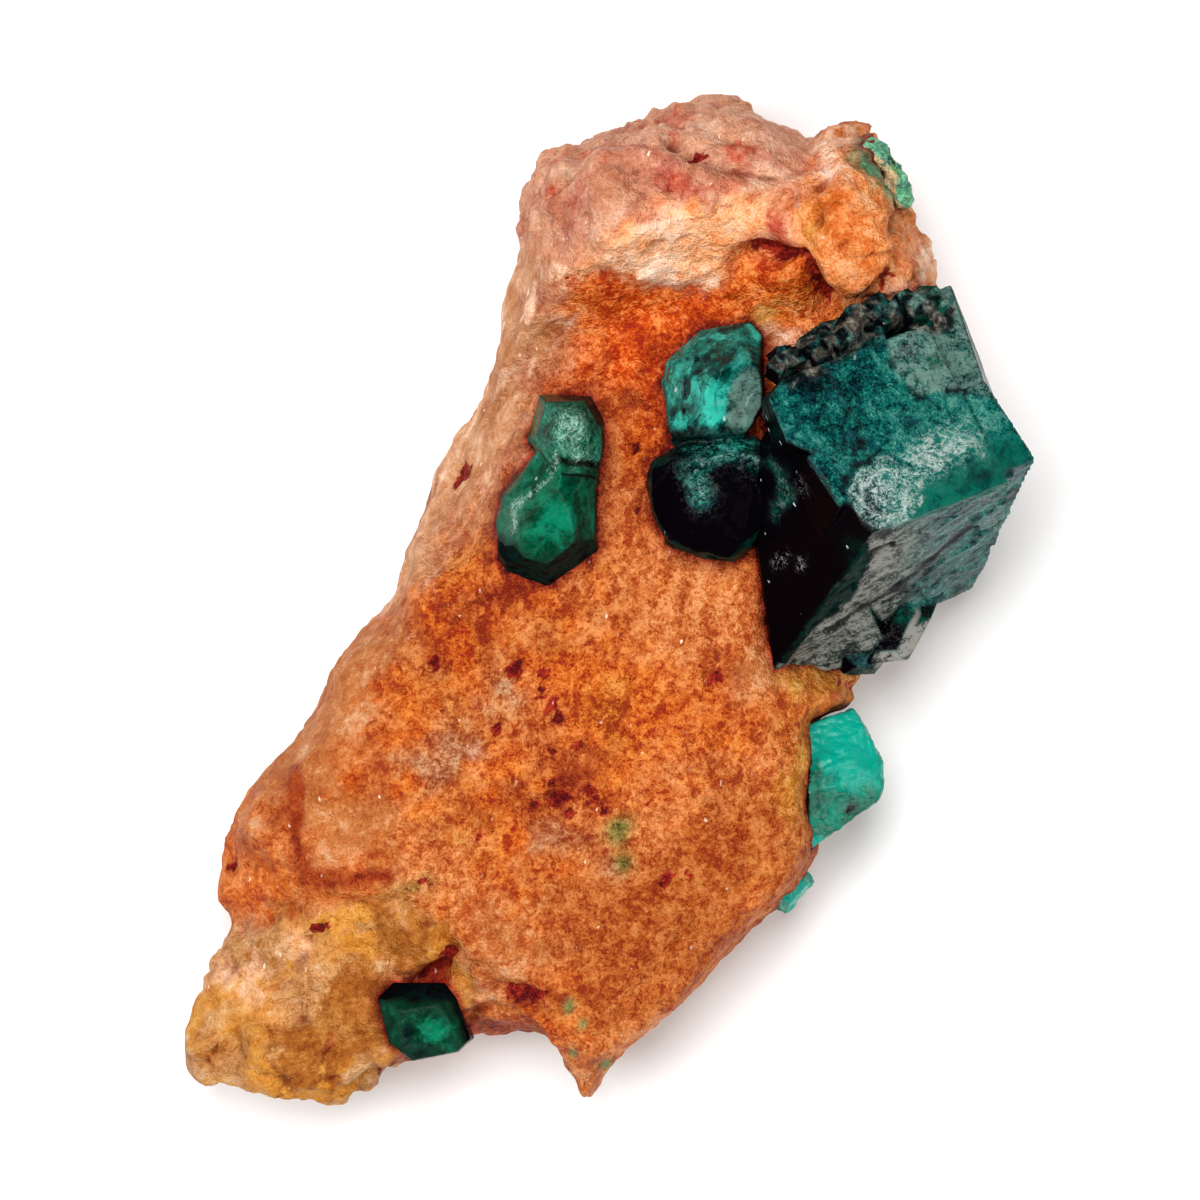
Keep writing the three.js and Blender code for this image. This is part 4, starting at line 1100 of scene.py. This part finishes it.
    # The haze on the left face: a little along its rim, and soft grey spots painted as hazy reflections and
    # glints.
    haze = 0.25 * rim + spots(moved, (0.8, 8.1, 2.2, 0.2), (0.5, 8.0, 5.3, 0.2),
                              (1, 7.2, 2.4, 0.17, 2, 60))
    return {
        "frost": np.clip(top * (0.95 * swirl + 0.75 * sheaf + 0.04) + left * haze
                         + 0.05 * foot_part, 0, 1),
        "earth": crowd * ramp(bit, 0.62, 0.5),
        "combed": np.clip(1.3 * sheaf - swirl, 0, 1),
        "painted_glow": np.clip(top * (0.50 * bright + 1.4 * blob(points, 13.3, 10.3, 0.2) + 0.05)
                        + 0.16 * (left + lower) * inner_strip
                        + 0.8 * (1 - top) * (1 - lower) * (1 - left) * ramp(points[:, 0], 10.5, 12.5)
                        + 0.8 * rim, 0, 1) * (1 - foot_part),
        "painted_sheen": np.clip(lower * (1 - 0.90 * green_side) + 0.35 * top * plate + grey_facet, 0, 1),
        "shade": -0.30 * top * ramp(11.5 - points[:, 0], -0.5, 1.5) + 0.22 * top - 0.5 * seam
                 + 0.16 * lines * lower + 0.12 * lower - 0.15 * green_side * lower - 0.3 * bright * top
                 + 0.35 * grey_facet - 0.25 * low_bit + 0.12 * top * np.clip(swirl + sheaf, 0, 1),
        "clear": top * np.clip(0.75 * bright + 0.5 * (swirl + sheaf) + 0.15, 0, 1),
        "black_shade_and_cracks": black_shade_and_cracks,
        "chips": np.clip(left * 0.9 + 0.25 * top, 0, 1),
    }, relief


NEARLY_ONE = 1.001                      # keeps a share just short of a route's last corner


def along(route, shares):
    """Places on a route, where a share of 2.5 is half-way from its third corner to its fourth."""
    route = np.array(route)
    low = shares.astype(int)
    return route[low] + (route[low + 1] - route[low]) * (shares - low)[:, None]


def druse(route, count, seed):
    """Small crystals crowded along a route, their centres a little under the top face's plane."""
    luck = np.random.default_rng(seed)
    across = along(route, luck.uniform(0, len(route) - NEARLY_ONE, count))
    across += luck.normal(0, 0.28, (count, 2))
    up = (TOP_REACH - across @ TOP_WAY[:2]) / TOP_WAY[2] - 0.75 - luck.uniform(0, 0.7, count)
    size = luck.uniform(0.22, 0.48, count)
    wide = size[:, None] * luck.uniform(0.6, 1.1, (count, 2))
    turn = luck.uniform(-60, 60, count)
    return [([x, y, z], rhomb(long, *sides, way))
            for (x, y), z, long, sides, way in zip(across, up, size, wide, turn)]


grow_crystal("large_crystal_cluster", "large_crystal", [
    ([10.23, 5.02, 10.65], rhomb(5.45, 3.6, 3.8, 0, 1.1) + [(165, 8, 4.2), (-170, 5, 4.23), (25, -8, 5.0)]),
    ([13.6, 3.4, 9.4], [(50.6, 60.2, 6.05), (-60.1, 17.5, 0.56), (-155, 32.8, 3.0),
                        (-129.4, -60.2, 5.94), (119.9, -17.5, 3.2), (28.6, -22.7, 2.68)]),
    ([8.0, 7.95, 15.3], [(50.6, 60.2, 1.02), (-60, 12, 1.9), (-160, 8, 1.15), (-112, 12, 1.35),
                         (142, 8, 1.7), (119.9, -17.5, 1.5), (25, -32.8, 1.4), (-129.4, -50, 2.2)]),
    ([9.6, 5.6, 15.6], [(50.6, 60.2, 1.13), (-60.1, 17.5, 1.35), (-150, 25, 1.28), (119.9, -10, 1.2),
                        (25, -32.8, 1.0), (-129.4, -60.2, 1.9), (-100, 30, 1.7)]),
    ([8.3, 9.9, 12.6], rhomb(1.75, 0.75, 0.95, 14) + [(165, 10, 1.0)]),
    ([9.7, 11.0, 11.9], rhomb(1.6, 0.9, 0.9, -12) + [(90, 30, 1.0)]),
    ([11.0, 11.7, 11.2], rhomb(1.8, 0.8, 0.8, 20) + [(70, 20, 0.9)]),
    ([12.3, 12.1, 10.8], rhomb(1.6, 0.8, 0.9, 4) + [(120, 20, 0.8)]),
    ([13.5, 9.9, 9.6], rhomb(2.6, 2.2, 1.5, 3) + [(20, 5, 1.75)]),
    ([12.4, -0.1, 6.4], [(-60, 55, 0.9), (-28, -4, 0.66), (152, 5, 0.75), (-86, -8, 1.45),
                         (75, 0, 2.0), (-100, -55, 1.6), (40, 40, 1.1)]),
    ([10.6, -1.5, 6.3], rhomb(0.7, 0.6, 0.7, 30) + [(-90, 20, 0.55), (0, 80, 0.5)]),
    ([9.4, 0.2, 6.0], [(-78, 32, 1.9), (-160, 20, 2.0), (10, 10, 2.0), (90, 0, 1.5),
                       (0, -90, 1.5), (-80, 0, 2.1)]),
] + druse(TOP_DRUSE, 60, 7), deep_green, large_crystal_marks, spacing=LARGE_SKIN)

# ---------------------------------------------------------------- centre crystals
# Two rounded dioptase crystals left of the large one, grown together and rooted in the rock:
# the upper one bright and glassy, the lower one painted black for shade.

bright_green = crystal_material("bright_green_dioptase", {
    "Body dark": (0.0, 0.034, 0.028), "Body": (0.004, 0.120, 0.088), "Body light": (0.08, 0.34, 0.28),
    "Painted glow": (0.03, 0.56, 0.43), "Frost": (0.40, 0.56, 0.52)}, (0.0, 0.78, 0.60), 450, 0.2)


def centre_pair_marks(points, looks):
    """The upper one bright, with a painted glow inside at its lower left, a facet on its right
    painted with a grey sheen, and painted shade on its right and lower end; the lower one painted
    black for shade, with a frosted rim round its upper side."""
    drift = wander(points, 0.9, 110)
    moved = points + 0.35 * drift
    upper = ramp(points[:, 1], 7.2, 7.9)
    upward = ramp(looks[:, 2], 0.25, 0.5)
    horseshoe = np.clip(band(moved, [(4.1, 4.9), (3.6, 5.9), (4.3, 6.7), (5.2, 6.8), (6.2, 6.4),
                                     (7.0, 5.7)], 0.52)
                        + 0.8 * band(moved, [(3.4, 7.0), (6.0, 7.1)], 0.3), 0, 1)
    hot = blob(moved, 4.7, 8.5, 0.38, 1.7, 75) + 0.9 * blob(moved, 3.1, 7.5, 0.3, 1.6, 80)
    split = points + 0.1 * drift
    _, _, flat = grains(split, 1.1, 118)
    relief = 0.03 * rough(points, 0.6, 115, 3) + 0.12 * (1 - upper) * rough(points, 1.0, 119, 2)
    relief += 0.07 * shards(split, 1.1, 118)
    right = ramp(blob(points, 5.9, 8.4, 0.85, 1.9, 85), 0.25, 0.5)
    rim = horseshoe * np.maximum(upward, ramp(points[:, 1], 6.5, 6.9))
    dark_side = np.maximum(ramp(points[:, 0], 5.9, 6.3), ramp(7.9 - points[:, 1], 0, 0.3))
    return {
        "frost": (0.36 * (1 - upper) * horseshoe * upward
                  + upper * (0.02 + 0.5 * blob(moved, 4.75, 8.55, 0.28, 1.6, 75))),
        "painted_glow": np.clip(upper * (1.2 * hot + 0.20 * flat - 0.5 * right) * upward
                        + 0.12 * upper * (1 - upward) + 0.3 * (1 - upper) * (1 - upward)
                        + 0.12 * (1 - upper) * horseshoe * upward, 0, 1),
        "combed": 1 - upper,
        "clear": 0.5 * upper,
        "painted_sheen": upper * 0.45 * right,
        # The upper one's broken flats are each painted a little lighter or darker, as if lit differently.
        "shade": (upper * (0.50 * (flat - 0.5) + 0.35 * right + 0.1)
                  + (1 - upper) * (0.15 * horseshoe - 0.2)),
        "black_shade_and_cracks": np.clip((1 - upper) * (1 - 0.85 * rim) + upper * (1 - upward) * dark_side
                         + 0.95 * upper * blob(moved, 3.3, 8.3, 0.55, 1.3, 60)
                         * ramp(rough(points, 0.4, 120, 2), -0.2, 0.1)
                         + 0.3 * upper * band(moved, [(2.6, 8.6), (3.4, 10.0), (4.6, 11.0)], 0.35)
                         * ramp(rough(points, 0.35, 121, 2), -0.05, 0.2), 0, 1),
        "chips": 0.8,
    }, relief


grow_crystal("centre_crystal_pair", "centre_crystals", [
    ([4.56, 9.56, 10.6], [(102, 14, 1.8), (42, 10, 2.5), (2, 4, 1.9), (-31, 0, 2.15), (-87, 5, 2.3),
                          (-175, 8, 1.9), (163, 14, 1.62), (136, 12, 1.55), (158, 56, 1.9),
                          (140, 34, 1.30), (176, 33, 1.42), (104, 34, 1.42), (60, 36, 1.85),
                          (-14, 60, 1.75), (80, 62, 2.35), (-110, 70, 2.3), (0, -90, 2.5)]),
    ([4.64, 5.0, 10.3], [(131, 15, 2.5), (169, 5, 2.7), (-172, 0, 2.62), (-150, 5, 2.6),
                         (-114, 5, 2.5), (-96, 5, 2.5), (-49, 8, 2.4), (-27, 5, 2.3), (16, 8, 2.8),
                         (47, 14, 2.55), (74, 20, 2.3), (100, 25, 2.1), (95, 55, 2.2), (40, 50, 2.5),
                         (150, 45, 2.45), (-160, 45, 2.5), (-100, 48, 2.4), (-30, 45, 2.5),
                         (-80, 72, 2.25), (60, 78, 2.4), (0, -90, 2.5)]),
], bright_green, centre_pair_marks)

# ---------------------------------------------------------------- left and foot crystals
# Two stubby emerald green crystals grown together on the left of the plate, and a small
# square one at the rock's lower edge, of the same dioptase.

emerald = crystal_material("emerald_dioptase", {
    "Body dark": (0.0, 0.030, 0.012), "Body": (0.0, 0.105, 0.052), "Body light": (0.010, 0.22, 0.135),
    "Painted glow": (0.0, 0.20, 0.10), "Frost": (0.36, 0.56, 0.47)}, (0.0, 0.75, 0.40), 500, 0.06)


def left_pair_marks(points, looks):
    """The upper one frosted on top, the lower one clear deep green; faces that turn down and the
    lower rim painted black for shade; a dark crack between them and a pale seam running down from it."""
    drift = wander(points, 0.9, 130)
    moved = points + 0.3 * drift
    upward = ramp(looks[:, 2], 0.25, 0.6)
    upper = ramp(points[:, 1], 6.0, 6.5)
    crack = band(points + 0.06 * drift, [(-1.7, 6.35), (-1.0, 6.3), (0.0, 6.2)], 0.12)
    seam = band(moved, [(-1.9, 6.6), (-2.1, 5.6), (-3.2, 4.6), (-3.6, 3.6)], 0.14)
    veil = ramp(striped(points, (0.5, 1.0, 0.2), 0.9, 135), 0.1, 0.5)
    relief = 0.05 * rough(points, 0.7, 137, 3) - 0.22 * crack * upward + 0.05 * rough(points, 1.6, 138, 2)
    return {
        "frost": np.clip(0.60 * blob(moved, -1.1, 7.8, 0.85, 1.3, 60) + 0.4 * blob(moved, -0.6, 6.7, 0.5)
                         + 0.6 * seam + 0.2 * blob(moved, -0.5, 5.6, 0.6), 0, 1) * upward,
        "painted_glow": np.clip(0.30 * blob(moved, -1.3, 4.1, 1.6, 1.3, 30) + 0.15 * veil, 0, 1) * upward
                + 0.2 * (1 - upward),
        "painted_sheen": np.clip(0.15 * blob(moved, -3.4, 4.3, 0.6, 2.0, 60) + 0.05 * upper * upward, 0, 1),
        "shade": 0.12 * upward * upper + 0.25 * blob(moved, -1.3, 4.1, 1.2) * upward
                 + 0.2 * blob(moved, -3.4, 4.3, 0.6, 2.0, 60) - 0.4 * crack - 0.1 * (1 - upper),
        "clear": np.clip(0.85 * (1 - upper) + 0.35 * upper, 0, 1),
        "black_shade_and_cracks": np.clip((1 - upward) * (0.35 + ramp(looks[:, 0] * 0.8 - looks[:, 1], -0.1, 0.3))
                         + 0.9 * crack
                         + 0.7 * blob(points, -1.0, 9.0, 0.4, 2.4, 0) * (1 - 0.3 * upward)
                         + 0.6 * blob(points, -0.1, 8.0, 0.3, 1.8, 70)
                         + 1.1 * band(moved, [(-4.0, 2.9), (-3.0, 2.1), (-1.8, 1.7), (-0.2, 2.8)], 0.42),
                         0, 1),
        "chips": 0.6,
    }, relief


grow_crystal("left_crystal_pair", "left_crystal", [
    ([-1.4, 7.56, 10.9], [(90, 6, 1.2), (32, 8, 1.36), (2, 5, 1.5), (-10, 3, 1.62), (-90, 5, 1.9),
                          (-150, 5, 1.3), (166, 6, 1.1), (100, 80, 1.55), (60, 48, 1.62),
                          (-175, 50, 1.45), (10, 52, 1.65), (88, 30, 1.30), (35, 32, 1.42),
                          (2, 33, 1.48), (172, 34, 1.12), (0, -90, 2.5)]),
    ([-1.96, 4.2, 10.6], [(144, 4, 1.9), (166, 3, 1.98), (-178, 4, 2.12), (-146, 10, 2.55),
                          (-107, 20, 2.25), (-55, 18, 1.85), (-1, 5, 1.8), (90, 5, 3.0),
                          (-96, 74, 1.7), (143, 46, 1.78), (10, 50, 1.9), (-1, 32, 1.62),
                          (-176, 34, 1.85), (-146, 38, 2.15), (0, -90, 2.5)]),
], emerald, left_pair_marks)


def foot_marks(points, looks):
    """Clear deep green on top with a lighter wedge of painted glow, painted black for shade at its
    upper end, on its right and on faces that turn down.
    """
    drift = wander(points, 0.8, 150)
    moved = points + 0.25 * drift
    upward = ramp(looks[:, 2], 0.3, 0.6)
    return {
        "frost": 0.05 * blob(moved, -6.6, -16.3, 0.5, 1.5, 60) * upward,
        "painted_glow": np.clip(spots(moved, (0.25, -7.0, -16.2, 1.1), (0.4, -6.5, -16.6, 0.4, 1.6, 60)),
                        0, 1) * upward,
        "shade": 0.32 * blob(moved, -6.8, -16.4, 1.1) - 0.36,
        "clear": 0.8,
        "black_shade_and_cracks": np.clip(1.1 * ramp(points[:, 1] + 0.2 * drift[:, 0], -15.5, -15.0)
                         + 0.55 * (1 - upward)
                         + 0.9 * ramp(points[:, 0] + 0.35 * points[:, 1] + 0.2 * drift[:, 1],
                                      -11.55, -11.2), 0, 1),
        "chips": 0.8,
    }, 0.03 * rough(points, 0.7, 157, 3)


grow_crystal("foot_crystal_block", "foot_crystal", [
    ([-7.08, -16.12, 7.1], [(135, 2, 1.98), (90, 2, 1.58), (38, 2, 1.66), (19, 2, 1.60),
                            (-47, 2, 1.80), (-79, 2, 1.44), (-127, 2, 1.51), (-166, 2, 1.56),
                            (-60, 80, 1.35), (95, 48, 1.50), (20, 46, 1.62), (-165, 48, 1.72),
                            (-85, 50, 1.65), (0, -90, 2.4)]),
], emerald, foot_marks)

# ---------------------------------------------------------------- edge crystals
# A light green, clearer piece of dioptase on the right edge of the rock, broken and sugary
# at its side, and a thin sliver of the same below it.

light_green = crystal_material("light_green_dioptase", {
    "Body dark": (0.0, 0.13, 0.075), "Body": (0.0, 0.21, 0.130), "Body light": (0.01, 0.36, 0.26),
    "Painted glow": (0.0, 0.37, 0.27), "Frost": (0.25, 0.75, 0.62)}, (0.0, 0.90, 0.76), 120, 0.25)


def light_marks(points, _):
    """Clear and light at the upper end, deeper below, grained like sugar where it is broken."""
    drift = wander(points, 1.0, 170)
    moved = points + 0.4 * drift
    broken = ramp(points[:, 0] + 0.5 * rough(points, 1.0, 175, 2), 10.4, 11.0)
    far_down = ramp(-points[:, 1], 8.5, 9.0)
    near, far, flat = grains(points + 0.1 * drift, 0.45, 181)
    deeper = ramp(-points[:, 1] - 0.35 * points[:, 0], 2.3, 4.2) * (1 - far_down)
    return {
        "frost": 0.08 * ramp(rough(points, 0.6, 176, 3), 0.0, 0.4),
        "painted_glow": np.clip(1.0 * blob(moved, 9.7, -4.9, 1.0, 1.3, -50) + 0.15 + 0.85 * far_down, 0, 1),
        "shade": 0.25 * (flat - 0.5) + 0.30 - 0.36 * deeper,
        "clear": 0.9,
        # A dark line of painted shadow along its left side, where it meets the rock.
        "black_shade_and_cracks": 0.5 * band(points, [(8.72, -5.6), (8.8, -7.6)], 0.12),
        "chips": 0.5,
    }, (0.10 * rough(points, 0.7, 177, 3) + 0.12 * broken * rough(points, 0.8, 179, 2)
        + 0.16 * (far - near) + 0.06 * (flat - 0.5) - 0.05)


grow_crystal("edge_crystal_light", "edge_crystal", [
    ([10.0, -6.04, 5.6], [(110, 0, 2.28), (28.6, 0, 1.40), (0, 0, 1.40), (-20, 0, 1.55), (-55, 0, 1.72),
                          (180, 0, 1.65), (95, 62, 1.7), (-60, 66, 1.5), (20, 55, 1.6), (0, -70, 1.9)]),
], light_green, light_marks, soften=5)

grow_crystal("edge_sliver_light", "edge_sliver", [
    ([8.0, -10.9, 4.9], [(-42, 6, 0.18), (138, 0, 1.6), (40, 12, 0.55), (-118, 12, 0.80),
                         (-30, 60, 0.45), (0, -75, 1.2)]),
], light_green, light_marks, soften=2)

# ---------------------------------------------------------------- green crust
# A thin crust of a green copper mineral on the upper right corner of the rock: small lumps
# grown together in two rows, which pass into pale rock inwards.

crust_green = crystal_material("green_crust", {
    "Body dark": (0.10, 0.17, 0.06), "Body": (0.06, 0.29, 0.15), "Body light": (0.20, 0.46, 0.28),
    "Painted glow": (0.1, 0.6, 0.4), "Frost": (0.70, 0.42, 0.22)}, (0.1, 0.7, 0.5), 200, 0.0)
CRUST_EDGE = [(10.75, 19.15), (11.4, 18.75), (12.1, 18.15), (12.3, 17.4), (12.4, 16.85)]
CRUST_OUTER = [(10.8, 18.95), (11.35, 18.5), (11.85, 17.9), (12.05, 17.3), (12.1, 16.9)]
CRUST_INNER = [(10.5, 18.6), (11.0, 18.2), (11.5, 17.7), (11.7, 17.2)]


def crust_marks(points, _):
    """Grainy, green along the outer edge of the rock and fading to pale rock inwards."""
    near, far, flat = grains(points, 0.4, 194)
    inward = from_line(points, CRUST_EDGE)
    return ({"frost": ramp(inward + 0.35 * rough(points, 0.7, 190, 3), 0.30, 0.60),
             "shade": 0.4 * (flat - 0.5) + 0.3},
            0.08 * rough(points, 0.8, 192, 3) + 0.12 * (far - near) - 0.08)


def crust_bits(route, count, seed):
    """Small twelve-sided lumps in a row along a route near the edge of the rock."""
    luck = np.random.default_rng(seed)
    across = along(route, np.linspace(0, len(route) - NEARLY_ONE, count))
    across += luck.normal(0, 0.10, (count, 2))
    size = luck.uniform(0.24, 0.42, count)
    up = luck.uniform(9.3, 10.9, count)
    turn = luck.uniform(-90, 90, count)
    return [([x, y, z], [(way + k * 60, 0, wide) for k in range(6)]
             + [(way + 30 + k * 90, 35, wide) for k in range(4)]
             + [(way, 82, wide * 0.8), (0, -85, wide)])
            for (x, y), z, wide, way in zip(across, up, size, turn)]


grow_crystal("green_crust_patch", "green_crust",
             crust_bits(CRUST_OUTER, 26, 5) + crust_bits(CRUST_INNER, 16, 6),
             crust_green, crust_marks, soften=5)

# ---------------------------------------------------------------- studio
# A pale floor, soft light from the upper end of the rock and weaker light from both sides, and
# the camera straight above, looking down on the specimen with its upper end at the top.

VIEW_WIDTH = 0.048           # what the camera takes in from side to side, in metres
VIEW_HEIGHT = 0.009          # at this height above the floor
VIEW_UP = 0.8                # how far towards the rock's upper end the view's middle lies, mm
VIEW_LENS = 500.0            # a long lens, which shows hardly any perspective, in mm
SENSOR = 36.0

floor_mesh = bpy.data.meshes.new("pale_floor")
floor_mesh.from_pydata([(-2, -2, 0), (2, -2, 0), (2, 2, 0), (-2, 2, 0)], [], [(0, 1, 2, 3)])
floor = bpy.data.objects.new("pale_floor", floor_mesh)
bpy.context.scene.collection.objects.link(floor)
floor_material, floor_shader, _ = new_material("pale_floor")
floor_shader.inputs["Base Color"].default_value = (0.93, 0.93, 0.93, 1)
floor_shader.inputs["Roughness"].default_value = 0.9
floor_mesh.materials.append(floor_material)


def soft_light(name, at, size, power):
    """A round white lamp at a place, turned towards the specimen."""
    data = bpy.data.lights.new(name, "AREA")
    data.shape = "DISK"
    data.size = size
    data.energy = power
    light = bpy.data.objects.new(name, data)
    light.location = at
    light.rotation_euler = (-Vector(at)).to_track_quat("-Z", "Y").to_euler()
    bpy.context.scene.collection.objects.link(light)


soft_light("key_light", (-0.03, 0.13, 0.43), 0.26, 1.85)
soft_light("left_light", (-0.25, -0.04, 0.36), 0.30, 1.08)
soft_light("right_light", (0.22, -0.26, 0.26), 0.30, 1.0)

world = bpy.data.worlds.new("studio")
world.use_nodes = True
world.node_tree.nodes["Background"].inputs["Color"].default_value = (1, 1, 1, 1)
world.node_tree.nodes["Background"].inputs["Strength"].default_value = 0.12
bpy.context.scene.world = world

camera_data = bpy.data.cameras.new("camera")
camera_data.lens = VIEW_LENS
camera_data.sensor_width = SENSOR
camera_data.clip_start = 0.05
camera_data.clip_end = 5
camera = bpy.data.objects.new("camera", camera_data)
camera.location = (PLATE_MIDDLE[0] / MM_IN_METRE, (VIEW_UP + PLATE_MIDDLE[1]) / MM_IN_METRE,
                   VIEW_HEIGHT + VIEW_WIDTH * VIEW_LENS / SENSOR)
bpy.context.scene.collection.objects.link(camera)
bpy.context.scene.camera = camera
bpy.context.scene.view_settings.view_transform = "Standard"
